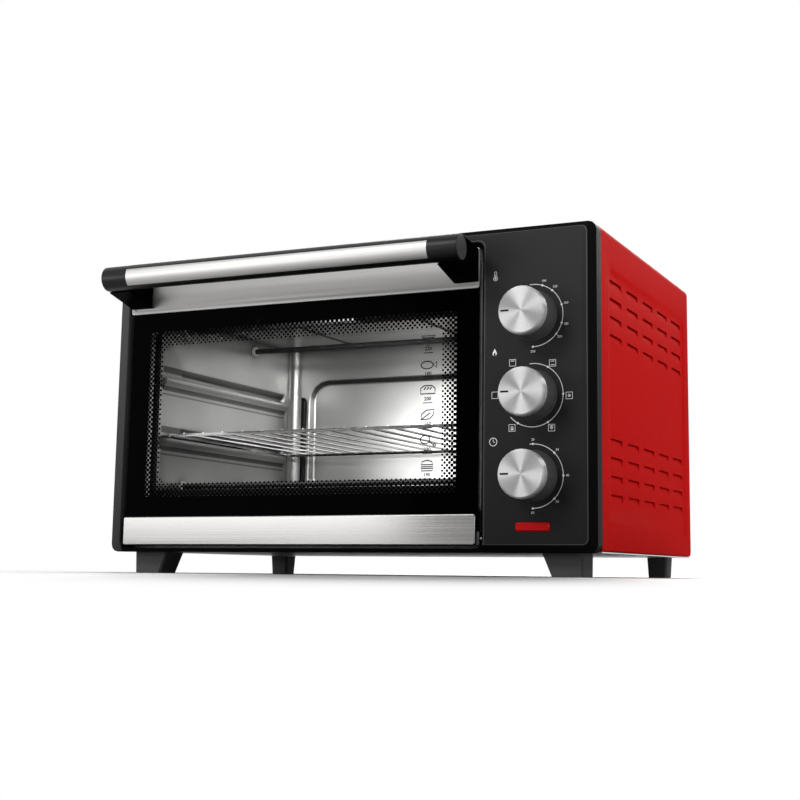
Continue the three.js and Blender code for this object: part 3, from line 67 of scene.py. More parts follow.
def place_camera():
    """The camera fitted to the straight edges of the photograph."""
    yaw, pitch, roll = math.radians(YAW), math.radians(PITCH), math.radians(ROLL)
    ahead = Vector((-math.sin(yaw) * math.cos(pitch), math.cos(yaw) * math.cos(pitch), math.sin(pitch)))
    right = Vector((math.cos(yaw), math.sin(yaw), 0))
    up = right.cross(ahead)
    right, up = (
        math.cos(roll) * right + math.sin(roll) * up,
        -math.sin(roll) * right + math.cos(roll) * up,
    )
    lens = bpy.data.cameras.new("camera")
    lens.sensor_width = SENSOR_MM
    lens.lens = LENS_MM
    lens.shift_x = SHIFT_X
    lens.shift_y = SHIFT_Y
    lens.clip_start = 0.01
    eye = bpy.data.objects.new("camera", lens)
    bpy.context.scene.collection.objects.link(eye)
    turn = Matrix((right, up, -ahead)).transposed().to_4x4()
    eye.matrix_world = Matrix.Translation(at(*EYE)) @ turn
    bpy.context.scene.camera = eye


place_camera()


# ---------------------------------------------------------------- materials
# A Mix node's sockets for numbers and colours share their names, so they are taken by their place.
FLOAT_A, FLOAT_B = 2, 3
COLOUR_A, COLOUR_B, COLOUR_OUT = 6, 7, 2
WHITE = (1, 1, 1, 1)


class Surface:
    """A Principled material, with helpers for grain, mottle and relief in object space."""

    def __init__(self, name, colour, rough=0.5, metal=0.0, **sockets):
        self.made = bpy.data.materials.new(name)
        self.made.use_nodes = True
        self.tree = self.made.node_tree
        self.shader = self.tree.nodes["Principled BSDF"]
        self.colour = (*colour, 1)
        self.rough = rough
        self.set("Base Color", self.colour)
        self.set("Roughness", rough)
        self.set("Metallic", metal)
        for key, value in sockets.items():
            self.set(key.replace("_", " "), value)
        self.made.diffuse_color = self.colour

    def set(self, socket, value):
        self.shader.inputs[socket].default_value = value

    def node(self, kind, **settings):
        made = self.tree.nodes.new(kind)
        for key, value in settings.items():
            if hasattr(made, key):
                setattr(made, key, value)
            else:
                made.inputs[key.replace("_", " ")].default_value = value
        return made

    def link(self, a, b):
        self.tree.links.new(a, b)

    def place(self):
        """The surface point in the model's frame: sockets X, Y and Z, in metres."""
        point = self.node("ShaderNodeTexCoord")
        parts = self.node("ShaderNodeSeparateXYZ")
        self.link(point.outputs["Object"], parts.inputs[0])
        return parts.outputs

    def ramp(self, value, start, end, low=0.0, high=1.0, shape="LINEAR"):
        """Goes from low to high as the value goes from start to end, and stays there outside."""
        made = self.node("ShaderNodeMapRange", interpolation_type=shape, From_Min=start, From_Max=end,
                         To_Min=low, To_Max=high)
        self.link(value, made.inputs["Value"])
        return made.outputs["Result"]

    def number(self, operation, *values):
        """Arithmetic on sockets and plain numbers."""
        made = self.node("ShaderNodeMath", operation=operation)
        for socket, value in zip(made.inputs, values):
            if isinstance(value, (int, float)):
                socket.default_value = value
            else:
                self.link(value, socket)
        return made.outputs[0]

    def greys(self, value, points):
        """The grey that belongs to a 0 to 1 value, between (value, grey) points."""
        made = self.node("ShaderNodeValToRGB")
        stops = made.color_ramp.elements
        while len(stops) < len(points):
            stops.new(0.5)
        for stop, (position, grey) in zip(stops, points):
            stop.position = position
            stop.color = (grey, grey, grey, 1)
        self.link(value, made.inputs["Fac"])
        return made.outputs["Color"]

    def towards_one(self, share, value):
        """The value where the share is 0, and 1 where the share is 1."""
        mix = self.node("ShaderNodeMix", data_type="FLOAT")
        self.link(share, mix.inputs[0])
        self.link(value, mix.inputs[FLOAT_A])
        mix.inputs[FLOAT_B].default_value = 1.0
        return mix.outputs[0]

    def openness(self, reach_mm, power, samples):
        """1 on open faces, and less where others stand within reach."""
        near = self.node("ShaderNodeAmbientOcclusion", samples=samples, Distance=reach_mm / 1000)
        return self.number("POWER", near.outputs["AO"], power)

    def noise(self, per_metre, stretch=(1, 1, 1), detail=3.0):
        """Noise with about per_metre cells in a metre, drawn out where stretch is under 1."""
        place = self.node("ShaderNodeTexCoord")
        scaled = self.node("ShaderNodeMapping")
        scaled.inputs["Scale"].default_value = [per_metre * s for s in stretch]
        made = self.node("ShaderNodeTexNoise", Scale=1.0, Detail=detail, Roughness=0.6)
        self.link(place.outputs["Object"], scaled.inputs["Vector"])
        self.link(scaled.outputs["Vector"], made.inputs["Vector"])
        return made.outputs["Fac"]

    def spread(self, noise, low, high):
        """Maps the middle of a noise, where most of its values lie, on low to high."""
        return self.ramp(noise, 0.3, 0.7, low, high)

    def vary_rough(self, noise, share):
        """Makes the surface duller and glossier by a share."""
        self.link(self.spread(noise, self.rough * (1 - share), self.rough * (1 + share)),
                  self.shader.inputs["Roughness"])
        return self

    def vary_colour(self, noise, share):
        """Makes the colour lighter and darker by a share."""
        mix = self.node("ShaderNodeMix", data_type="RGBA", clamp_factor=True)
        dark = [c * (1 - share) for c in self.colour[:3]]
        light = [min(1, c * (1 + share)) for c in self.colour[:3]]
        mix.inputs[COLOUR_A].default_value = (*dark, 1)
        mix.inputs[COLOUR_B].default_value = (*light, 1)
        self.link(self.spread(noise, 0, 1), mix.inputs["Factor"])
        self.link(mix.outputs[COLOUR_OUT], self.shader.inputs["Base Color"])
        return self

    def fade_up(self, z0, low, z1, high):
        """Multiplies the colour by low at the height z0 and by high at z1, in millimetres."""
        return self.scale_colour(self.ramp(self.place()["Z"], z0 / 1000, z1 / 1000, low, high))

    def scale_colour(self, share):
        """Multiplies the colour made so far by a share."""
        colour = self.shader.inputs["Base Color"]
        scaled = self.node("ShaderNodeVectorMath", operation="SCALE")
        if colour.is_linked:
            self.link(colour.links[0].from_socket, scaled.inputs[0])
        else:
            scaled.inputs[0].default_value = self.colour[:3]
        self.link(share, scaled.inputs["Scale"])
        self.link(scaled.outputs[0], colour)
        return self

    def paint_crease_shade(self, reach_mm, power):
        """Painted shade: darkens the colour in grooves and inner corners, by how open they are."""
        return self.scale_colour(self.openness(reach_mm, power, samples=8))

    def emboss(self, noise, depth_mm):
        """Adds a fine relief."""
        made = self.node("ShaderNodeBump", Strength=1.0, Distance=depth_mm / 1000)
        self.link(noise, made.inputs["Height"])
        self.link(made.outputs["Normal"], self.shader.inputs["Normal"])
        return self


def red_enamel():
    """The wrap cover's stoved paint, with a slight orange-peel relief."""
    s = Surface("red_enamel", (0.45, 0.0055, 0.005), 0.45, Specular_IOR_Level=0.002)
    s.vary_colour(s.noise(14), 0.02)
    s.vary_rough(s.noise(180), 0.12)
    return s.emboss(s.noise(420, detail=1.0), 0.006)


def black_moulding(name, tone=0.01, rough=0.42, grain=0.02, shine=0.13):
    """Moulded black plastic, or a coating like it, with a grain in millimetres."""
    s = Surface(name, (tone, tone, tone * 1.02), rough, Specular_IOR_Level=shine)
    s.vary_colour(s.noise(30), 0.06)
    s.vary_rough(s.noise(300), 0.1)
    return s.emboss(s.noise(1800, detail=2.0), grain)


def bezel_moulding():
    """A satin front face with a thin painted highlight line at its edge, darker black sides as painted shade,
    and a lighter strip as painted light.
    """
    satin, painted_edge_highlight, painted_side_shade = 0.021, 0.075, 0.0025
    s = Surface("black_bezel_moulding", (satin, satin, 0.0215), 0.42, Specular_IOR_Level=0.022)
    place = s.place()
    # Across the edge of the front face: a painted highlight line, then sides darkened as painted shade.
    back = s.ramp(place["Y"], at(0, PANEL_Y, 0).y, at(0, PANEL_Y + 1, 0).y)
    tones = s.greys(back, ((0, satin), (0.06, satin), (0.14, painted_edge_highlight), (0.3, 0.06), (0.5, painted_side_shade), (1, painted_side_shade)))
    # The strip left of the door, 13 mm wide, keeps one lighter tone: painted light.
    mix = s.node("ShaderNodeMix", data_type="RGBA")
    mix.inputs[COLOUR_A].default_value = (0.04, 0.04, 0.041, 1)
    s.link(s.ramp(place["X"], at(13, 0, 0).x, at(14, 0, 0).x), mix.inputs["Factor"])
    s.link(tones, mix.inputs[COLOUR_B])
    s.link(mix.outputs[COLOUR_OUT], s.shader.inputs["Base Color"])
    s.vary_rough(s.noise(300), 0.1)
    return s.emboss(s.noise(1800, detail=2.0), 0.02)


def brushed(name, tone, rough, stretch, metal=1.0, fade=None):
    """Brushed metal. Its streaks run along the axis with the smallest stretch. A fade paints light and shade by
    height.
    """
    s = Surface(name, (tone, tone * 0.99, tone * 0.97), rough, metal)
    streak = s.noise(1100, stretch, 2.0)
    s.vary_colour(streak, 0.07)
    if fade:
        s.fade_up(*fade)
    return s.vary_rough(streak, 0.2)


def sheet_steel(name, tone, axis="X", steps=(), centre_y=0, reach=0):
    """Aluminised sheet with painted shade in its creases. For pressed-in forms, the steps give a painted shade,
    as its share of colour at places along one axis.

    With a centre, they hold only as far from it as the reach."""
    s = Surface(name, (tone, tone, tone * 0.98), 0.34, 0.85)
    s.vary_colour(s.noise(14), 0.06)
    s.vary_rough(s.noise(18), 0.12)
    if steps:
        place = s.place()
        first, last = steps[0][0], steps[-1][0]
        start, end = (at(v, v, v)["XYZ".index(axis)] for v in (first, last))
        points = [((where - first) / (last - first), share) for where, share in steps]
        tones = s.greys(s.ramp(place[axis], start, end), points)
        if centre_y:
            away = s.number("ABSOLUTE", s.number("SUBTRACT", place["Y"], at(0, centre_y, 0).y))
            blend_mm = 2
            tones = s.towards_one(s.ramp(away, reach / 1000, (reach + blend_mm) / 1000), tones)
        s.scale_colour(tones)
    # Painted shade in the sheet's creases and inner corners.
    return s.paint_crease_shade(reach_mm=16, power=1.6)


def spun_aluminium():
    """Turned caps: a satin shine drawn out round the knob's axis."""
    s = Surface("spun_aluminium", (0.35, 0.35, 0.35), 0.4, 1.0, Anisotropic=1.0, Anisotropic_Rotation=0.25)
    tangent = s.node("ShaderNodeTangent", direction_type="RADIAL", axis="Y")
    s.link(tangent.outputs["Tangent"], s.shader.inputs["Tangent"])
    s.vary_rough(s.noise(300), 0.06)
    return s


def wire(name, tone, rough, metal=1.0):
    """Drawn metal with a mottled shine."""
    s = Surface(name, (tone, tone, tone), rough, metal)
    s.vary_colour(s.noise(120), 0.12)
    return s.vary_rough(s.noise(240), 0.3)


def plain(name, colour, rough, **sockets):
    """Any other surface, with a faint mottle."""
    s = Surface(name, colour, rough, **sockets)
    s.vary_colour(s.noise(90), 0.08)
    return s.vary_rough(s.noise(400), 0.12)


RED = red_enamel()
BEZEL = black_moulding("satin_black_moulding")
# Darker towards the bottom and lighter towards the top of the front: painted light.
FRONT = bezel_moulding().fade_up(30, 0.75, 315, 1.4)
SOFT_BLACK = black_moulding("fine_black_moulding", tone=0.0028, rough=0.36, grain=0.01, shine=0.16)
# Lighter than the tube: a painted sheen on the handle's ends.
END_CAP = black_moulding("handle_end_moulding", tone=0.05, rough=0.4, grain=0.01, shine=0.1)
SKIRT = black_moulding("knob_skirt_moulding", tone=0.055, rough=0.45, grain=0.01, shine=0.1)
BRACKET = black_moulding("glossy_black_moulding", tone=0.0008, rough=0.3, grain=0.005, shine=0.004)
FOOT = black_moulding("black_foot_moulding", tone=0.08, rough=0.55, grain=0.04, shine=0.03)
BLACK_STEEL = black_moulding("black_coated_steel", tone=0.02, rough=0.6, grain=0.01, shine=0.0)
GALVANISED = brushed("zinc_coated_steel", 0.46, 0.42, stretch=(0.12, 0.12, 0.12))
# The frame's pale tone is painted light where it shows between the dots, and it turns near-black below 60 mm as
# painted shade.
FRAME = brushed("zinc_coated_frame", 0.8, 0.5, stretch=(0.12, 0.12, 0.12), metal=0.2, fade=(60, 0.012, 66, 1))
TRIM = brushed("brushed_steel", 0.18, 0.17, stretch=(0.003, 1, 1))
INLAY = brushed("brushed_inlay", 0.36, 0.48, stretch=(0.004, 1, 1))
# Painted light: darker at the foot and lighter at the top of the trim, with a painted highlight along its lower
# edge.
TOP_TRIM = brushed("satin_trim", 0.23, 0.55, stretch=(0.004, 1, 1), fade=(275, 0.7, 296, 1.6))
TOP_TRIM.fade_up(273.4, 1.9, 276.2, 1.0)
# The cavity's sheet is lighter on the back wall and darker on the left wall: copies of one finish as painted
# light and shade.
SHEET = sheet_steel("aluminised_sheet", 0.58)
# Painted shade: the dark rim round the back wall's pressed recess, by depth.
RIM = ((295.0, 0.6), (295.5, 0.9), (296.2, 0.2), (298.9, 0.16), (299.6, 1.0))
BACK = sheet_steel("aluminised_back_wall", 0.8, "Y", RIM)
# Painted shade: the dark lines under the left wall's rails, the same over the foot of each, by height.
RAIL = ((0, 1.0), (0.5, 0.4), (1.6, 0.4), (2.2, 1.0), (4.4, 1.0), (5.2, 0.28), (9.0, 0.22), (9.8, 1.0),
        (23.5, 1.0), (24.5, 0.28), (30.6, 0.22), (31.8, 1.0))
RAILS = [(122.0, 1.0)] + [(foot + up, share) for foot in (124.6, 189.3) for up, share in RAIL]
WALL = sheet_steel("aluminised_side_wall", 0.4, "Z", RAILS, centre_y=146, reach=126)
CAP = spun_aluminium()
CHROME = wire("chromed_wire", 0.74, 0.14)
SHEATH = wire("heater_sheath", 0.03, 0.42, metal=0.5)
PIN = wire("dark_pin", 0.1, 0.4, metal=0.8)
CERAMIC = plain("white_ceramic", (0.5, 0.48, 0.43), 0.6)
LENS = plain("red_lens", (0.42, 0.006, 0.006), 0.2, Specular_IOR_Level=0.06)
LAMP = plain("lamp_glass", (0.85, 0.42, 0.3), 0.1, Transmission_Weight=0.7)
BAKELITE = plain("brown_bakelite", (0.045, 0.026, 0.018), 0.4)
PRINT = plain("pale_print", (0.72, 0.72, 0.72), 0.55)
FRIT = plain("black_frit", (0.0004, 0.0004, 0.0004), 0.08, Specular_IOR_Level=0.002)
INK = plain("black_ink", (0.004, 0.004, 0.004), 0.4, Specular_IOR_Level=0.1)
GLASS_LOOK = Surface("tinted_glass", (0.01, 0.011, 0.012), 0.03, Alpha=0.04, Specular_IOR_Level=0.02)
GLASS_LOOK.vary_rough(GLASS_LOOK.noise(60), 0.2)

# The look of each CAD slot, and the pieces, by a part of their name, that have a look of their own.
SLOTS = {
    "red_paint": RED, "black_plastic": BEZEL, "black_steel": BLACK_STEEL, "brushed_steel": TRIM,
    "aluminised_steel": SHEET, "spun_aluminium": CAP, "chrome_wire": CHROME, "element_steel": SHEATH,
    "ceramic": CERAMIC, "red_lens": LENS, "lamp_glass": LAMP, "bakelite": BAKELITE,
    "door_glass": GLASS_LOOK,
}
OWN = {
    "foot": FOOT, "bracket": BRACKET, "handle_bar": SOFT_BLACK, "skirt": SKIRT, "front_bezel": FRONT,
    "inlay": INLAY, "top_trim": TOP_TRIM, "hinge_pin": PIN, "inner_frame": FRAME,
    "cavity_back": BACK, "cavity_left": WALL, "rear_panel": GALVANISED, "timer_bell": GALVANISED,
}


# ---------------------------------------------------------------- shading of the CAD nodes
WELD_REACH = 2e-6
SHARP_OVER = math.radians(32)
BEVEL_OVER = math.radians(40)


def weld_group():
    """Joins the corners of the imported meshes, and keeps sharp only the edges over an angle."""
    g = bpy.data.node_groups.new("weld_and_shade", "GeometryNodeTree")
    g.interface.new_socket("Geometry", in_out="INPUT", socket_type="NodeSocketGeometry")
    g.interface.new_socket("Geometry", in_out="OUTPUT", socket_type="NodeSocketGeometry")
    start = g.nodes.new("NodeGroupInput")
    end = g.nodes.new("NodeGroupOutput")
    plain_normals = g.nodes.new("GeometryNodeRemoveAttribute")
    plain_normals.inputs["Name"].default_value = "custom_normal"
    weld = g.nodes.new("GeometryNodeMergeByDistance")
    weld.inputs["Distance"].default_value = WELD_REACH
    faces = g.nodes.new("GeometryNodeSetShadeSmooth")
    faces.domain = "FACE"
    edges = g.nodes.new("GeometryNodeSetShadeSmooth")
    edges.domain = "EDGE"
    edges.inputs["Shade Smooth"].default_value = False
    angle = g.nodes.new("GeometryNodeInputMeshEdgeAngle")
    over = g.nodes.new("FunctionNodeCompare")
    over.data_type = "FLOAT"
    over.operation = "GREATER_THAN"
    over.inputs[1].default_value = SHARP_OVER
    g.links.new(angle.outputs["Unsigned Angle"], over.inputs[0])
    g.links.new(over.outputs["Result"], edges.inputs["Selection"])
    flow = start.outputs[0]
    for step in (plain_normals, weld, faces, edges):
        g.links.new(flow, step.inputs["Geometry"])
        flow = step.outputs["Geometry"]
    g.links.new(flow, end.inputs[0])
    return g


def round_edges(piece, width_mm):
    """A narrow bevel on the sharp edges."""
    edge = piece.modifiers.new("edge", "BEVEL")
    edge.width = width_mm / 1000
    edge.segments = 2
    edge.limit_method = "ANGLE"
    edge.angle_limit = BEVEL_OVER


WELD = weld_group()
# Bevel widths of the pieces, by a part of their name.
ROUNDED = {
    "foot_": 0.5, "handle_bracket": 0.6, "door_top_trim": 0.25, "door_bottom_trim": 0.4, "indicator_lens": 0.4,
    "base_plate": 0.3, "cord_gland": 0.4, "knob_skirt": 0.25, "knob_cap": 0.5,
}


def dress_nodes():
    """Gives each CAD node its look, smooth shading and, where a width is named, rounded edges."""
    for name, piece in nodes.items():
        slot = piece.material_slots[0]
        own = next((look for key, look in OWN.items() if key in name), None)
        slot.material = (own or SLOTS[slot.material.name.split(".")[0]]).made
        weld = piece.modifiers.new("weld", "NODES")
        weld.node_group = WELD
        width = next((w for key, w in ROUNDED.items() if key in name), 0)
        if width:
            flat = piece.modifiers.new("flat", "DECIMATE")
            flat.decimate_type = "DISSOLVE"
            flat.angle_limit = math.radians(0.5)
            round_edges(piece, width)
        even = piece.modifiers.new("even", "WEIGHTED_NORMAL")
        even.mode = "FACE_AREA_WITH_ANGLE"
        even.keep_sharp = True


dress_nodes()


# ---------------------------------------------------------------- mesh helpers
FONT_SIZE_PER_HEIGHT = 1.38
FIGURE_DEPTH = 0.04


class Shape:
    """Collects forms in case-frame millimetres and makes one piece of them."""

    def __init__(self):
        self.bm = bmesh.new()

    def vert(self, p):
        return self.bm.verts.new(at(*p))

    def face(self, corners):
        self.bm.faces.new(corners)

    def skin(self, first, second, closed=True):
        """Faces between two rows of corners."""
        count = len(first)
        for i in range(count if closed else count - 1):
            j = (i + 1) % count
            self.face((first[i], first[j], second[j], second[i]))

    def prism(self, outline, y0, y1):
        """A flat form with an outline of (x, z) points between two depths."""
        near = [self.vert((x, y0, z)) for x, z in outline]
        far = [self.vert((x, y1, z)) for x, z in outline]
        self.face(near)
        self.face(far[::-1])
        self.skin(far, near)
        return self

    def stroke(self, points, width, y0, y1, closed=False):
        """A line of one width through (x, z) points, with its own thickness."""
        sides = ([], [])
        count = len(points)
        for i, (x, z) in enumerate(points):
            ax, az = points[i - 1] if i or closed else (x, z)
            bx, bz = points[(i + 1) % count] if i < count - 1 or closed else (x, z)
            dx, dz = bx - ax, bz - az
            size = math.hypot(dx, dz) or 1
            nx, nz = -dz / size * width / 2, dx / size * width / 2
            sides[0].append((x + nx, z + nz))
            sides[1].append((x - nx, z - nz))
        if not closed:
            return self.prism(sides[0] + sides[1][::-1], y0, y1)
        return self.border(*sides, y0, y1)

    def border(self, outer, inner, y0, y1):
        """A flat ring between two outlines of (x, z) points."""
        near_out, near_in, far_out, far_in = (
            [self.vert((x, y, z)) for x, z in outline] for y in (y0, y1) for outline in (outer, inner))
        for first, second in ((near_out, near_in), (far_in, far_out), (far_out, near_out), (near_in, far_in)):
            self.skin(first, second)
        return self

    def disc(self, x, z, r, y0, y1, sides):
        return self.prism(circle(x, z, r, sides), y0, y1)

    def rod(self, a, b, r, sides):
        """A round bar between two points."""
        a, b = at(*a), at(*b)
        along = (b - a).normalized()
        turn = along.to_track_quat("Z", "Y")
        ring = [Vector((math.cos(t), math.sin(t), 0)) * r / 1000
                for t in (2 * math.pi * i / sides for i in range(sides))]
        near, far = ([self.bm.verts.new(end + turn @ spoke) for spoke in ring] for end in (a, b))
        self.face(near[::-1])
        self.face(far)
        self.skin(near, far)
        return self

    def words(self, text, x, z, height, y0, bold=0.0):
        """Plain figures that stand on the front, centred on a point."""
        curve = bpy.data.curves.new("figures", "FONT")
        curve.body = text
        curve.size = height / 1000 * FONT_SIZE_PER_HEIGHT
        curve.align_x = "CENTER"
        curve.align_y = "CENTER"
        curve.resolution_u = 2
        curve.extrude = FIGURE_DEPTH / 2000
        curve.offset = bold / 1000
        carrier = bpy.data.objects.new("figures", curve)
        bpy.context.scene.collection.objects.link(carrier)
        bpy.context.view_layer.update()
        flat = bpy.data.meshes.new_from_object(carrier.evaluated_get(bpy.context.evaluated_depsgraph_get()))
        flat.transform(Matrix.Translation(at(x, y0, z)) @ Matrix.Rotation(math.pi / 2, 4, "X"))
        self.bm.from_mesh(flat)
        bpy.data.objects.remove(carrier)
        bpy.data.curves.remove(curve)
        bpy.data.meshes.remove(flat)
        return self

    def finish(self, name, body, look, slot, smooth=None, bevel=0):
        """Makes the piece. Smooth is the angle in degrees over which an edge stays sharp."""
        bmesh.ops.recalc_face_normals(self.bm, faces=self.bm.faces)
        mesh = bpy.data.meshes.new(name)
        self.bm.to_mesh(mesh)
        self.bm.free()
        if smooth:
            mesh.shade_smooth()
            mesh.set_sharp_from_angle(angle=math.radians(smooth))
        piece = bpy.data.objects.new(name, mesh)
        bpy.context.scene.collection.objects.link(piece)
        piece.data.materials.append(look.made)
        if bevel:
            round_edges(piece, bevel)
        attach(piece, body)


def circle(x, z, r, sides, start=0.0, sweep=360.0):
    """Points round a centre. Angles run clockwise from 9 o'clock, as the front is seen."""
    turns = [math.radians(start + sweep * i / sides) for i in range(sides if sweep == 360 else sides + 1)]
    return [(x - r * math.cos(t), z + r * math.sin(t)) for t in turns]


def rectangle(x0, x1, z0, z1):
    return [(x0, z0), (x1, z0), (x1, z1), (x0, z1)]


def square(x, z, half):
    return rectangle(x - half, x + half, z - half, z + half)


# ---------------------------------------------------------------- print round the dials
FACE = PANEL_Y - 0.05
ARC_R = 29.7
ARC_START = 84
ARC_LINE, LINE, FINE = 0.62, 0.6, 0.5
MARK_R = 1.05
FIGURE_HEIGHT = 2.3


def on_dial(z, radius, angle):
    """The point at an angle round a knob."""
    return circle(KNOB_X, z, radius, 1, angle, 1)[0]


def dial_arc(shape, z, end, marks):
    """The dial's arc with a round mark at each angle, a little proud of it."""
    shape.stroke(circle(KNOB_X, z, ARC_R, 48, ARC_START, end - ARC_START), ARC_LINE, FACE, PANEL_Y)
    for angle in marks:
        shape.disc(*on_dial(z, ARC_R, angle), MARK_R, FACE - 0.01, PANEL_Y, 14)


def figure_dial(shape, z, values, radius):
    """An arc that ends at its last figure, with a mark for each figure."""
    dial_arc(shape, z, values[-1][1], [angle for _, angle in values])
    for text, angle in values:
        shape.words(text, *on_dial(z, radius, angle), FIGURE_HEIGHT, FACE)


def temperature_print():
    z = KNOB_Z["temperature"]
    s = Shape()
    values = [("100", 108.6), ("120", 130), ("150", 163), ("180", 197), ("200", 219), ("250", 270)]
    figure_dial(s, z, values, ARC_R + 4.4)
    s.disc(KNOB_X - 28.6, z - 1.2, 0.9, FACE, PANEL_Y, 12)
    # A thermometer: bulb below, tube above.
    x, low = 435.6, 278.6
    s.stroke(circle(x, low + 2.0, 2.1, 20), FINE, FACE, PANEL_Y, True)
    s.disc(x, low + 2.0, 1.0, FACE, PANEL_Y, 14)
    tube = [(x - 1.1, low + 3.8)] + circle(x, low + 7.6, 1.1, 10, 0, 180) + [(x + 1.1, low + 3.8)]
    s.stroke(tube, FINE, FACE, PANEL_Y)
    s.stroke([(x, low + 2.4), (x, low + 6.2)], FINE, FACE, PANEL_Y)
    s.finish("temperature_dial_print", "case", PRINT, "black_plastic")


def function_print():
    s = Shape()
    dial_arc(s, KNOB_Z["function"], 318, [120, 180, 240, 300])
    # Six oven signs: heat from above, heat from below and a fan, in plain combinations, and off.
    spots = [(435.5, 168.6), (453.2, 198.6), (492.8, 196.5), (509.0, 165.4), (491.8, 136.2), (452.8, 137.2)]
    for step, (x, up) in enumerate(spots):
        s.stroke(square(x, up, 3.1), LINE, FACE, PANEL_Y, True)
        if step in (1, 2, 4):
            s.stroke([(x - 1.8, up + 1.7), (x + 1.8, up + 1.7)], LINE, FACE, PANEL_Y)
        if step in (2, 5):
            s.stroke([(x - 1.8, up - 1.7), (x + 1.8, up - 1.7)], LINE, FACE, PANEL_Y)
        if step in (3, 4, 5):
            s.stroke(circle(x, up, 1.15, 14), FINE, FACE, PANEL_Y, True)
            s.disc(x, up, 0.5, FACE, PANEL_Y, 10)
    # A flame.
    x, low, scale = 435.0, 206.2, 0.75
    flame = [(-2.9, 2.4), (-2.4, 4.6), (-1.2, 6.2), (-0.2, 9.2), (1.4, 6.6), (2.6, 4.6), (2.9, 2.4), (1.9, 0.3),
             (1.2, 0), (1.3, 2.2), (0, 4.4), (-1.3, 2.2), (-1.2, 0), (-1.9, 0.3)]
    s.prism([(x + scale * a, low + scale * b) for a, b in flame], FACE, PANEL_Y)
    s.finish("function_dial_print", "case", PRINT, "black_plastic")


def minute_print():
    s = Shape()
    values = [("20", 90), ("30", 135), ("40", 180), ("50", 225), ("60", 270)]
    figure_dial(s, KNOB_Z["minute"], values, ARC_R + 4.0)
    # A clock.
    x, up = 434.0, 124.6
    s.stroke(circle(x, up, 3.7, 26), LINE, FACE, PANEL_Y, True)
    s.stroke([(x, up + 2.4), (x, up), (x + 1.6, up - 0.6)], FINE, FACE, PANEL_Y)
    s.finish("minute_dial_print", "case", PRINT, "black_plastic")


temperature_print()
function_print()
minute_print()


# ---------------------------------------------------------------- door glass
PRINT_FRONT_Y = GLASS_FRONT_Y - 0.06
PRINT_BACK_Y = GLASS_FRONT_Y - 0.01
DOT_Y = GLASS_FRONT_Y - 0.05
DOT_PITCH = 3.6
DOT_SIDES = 12
SMALLEST_DOT, LARGEST_DOT = 0.31, 0.52


def rounded(x0, x1, z0, z1, r):
    """A rectangle with round corners."""
    corners = ((x1 - r, z0 + r, 180), (x0 + r, z0 + r, 270), (x0 + r, z1 - r, 0), (x1 - r, z1 - r, 90))
    return [point for cx, cz, first in corners for point in circle(cx, cz, r, 6, first, 90)]


def glass_border():
    """The black print round the window, as a thin glossy sheet on the glass."""
    x0, x1, z0, z1 = GLASS
    edge, r = 0.2, 2
    outer = rounded(x0 + edge, x1 - edge, z0 + edge, z1 - edge, r)
    s = Shape().border(outer, rounded(*BAND, r), PRINT_FRONT_Y, PRINT_BACK_Y)
    s.finish("glass_border_print", "door", FRIT, "door_glass")


def band_share(x, z):
    """0 at the edge of the clear window and 1 at the border print, or None where no dot goes."""
    x0, x1, z0, z1 = CLEAR
    bx0, bx1, bz0, bz1 = BAND
    if not (bx0 - 1 < x < bx1 + 1 and bz0 - 1 < z < bz1 + 1):
        return None
    # The radius of the window's corners, and the mean width of the band.
    r, width = 6.0, 15.5
    dx = max((x0 + r - x) / (x0 - bx0), (x - x1 + r) / (bx1 - x1), 0)
    dz = max((z0 + r - z) / (z0 - bz0), (z - z1 + r) / (bz1 - z1), 0)
    share = math.hypot(dx, dz) - r / width
    return share if share > -0.04 else None


def glass_dots():
    """Dots in diagonal rows, larger towards the border print."""
    s = Shape()
    step = DOT_PITCH / math.sqrt(2)
    columns = int((BAND[1] - BAND[0]) / step) + 2
    rows = int((BAND[3] - BAND[2]) / step) + 2
    for i in range(columns):
        for j in range(i % 2, rows, 2):
            x, z = BAND[0] + i * step, BAND[2] + j * step
            share = band_share(x, z)
            if share is None:
                continue
            growth = (LARGEST_DOT - SMALLEST_DOT) * max(share, 0)
            r = DOT_PITCH * min(LARGEST_DOT, SMALLEST_DOT + growth)
            ring = []
            for k in range(DOT_SIDES):
                t = 2 * math.pi * k / DOT_SIDES
                # Each dot stays in its own diamond cell, so that neighbours meet and don't overlap.
                spread = max(abs(math.cos(t - math.pi / 4)), abs(math.sin(t - math.pi / 4)))
                reach = min(r, DOT_PITCH / 2 / spread * 0.995)
                ring.append(s.vert((x + reach * math.cos(t), DOT_Y, z + reach * math.sin(t))))
            s.face(ring)
    s.finish("glass_dot_print", "door", FRIT, "door_glass")


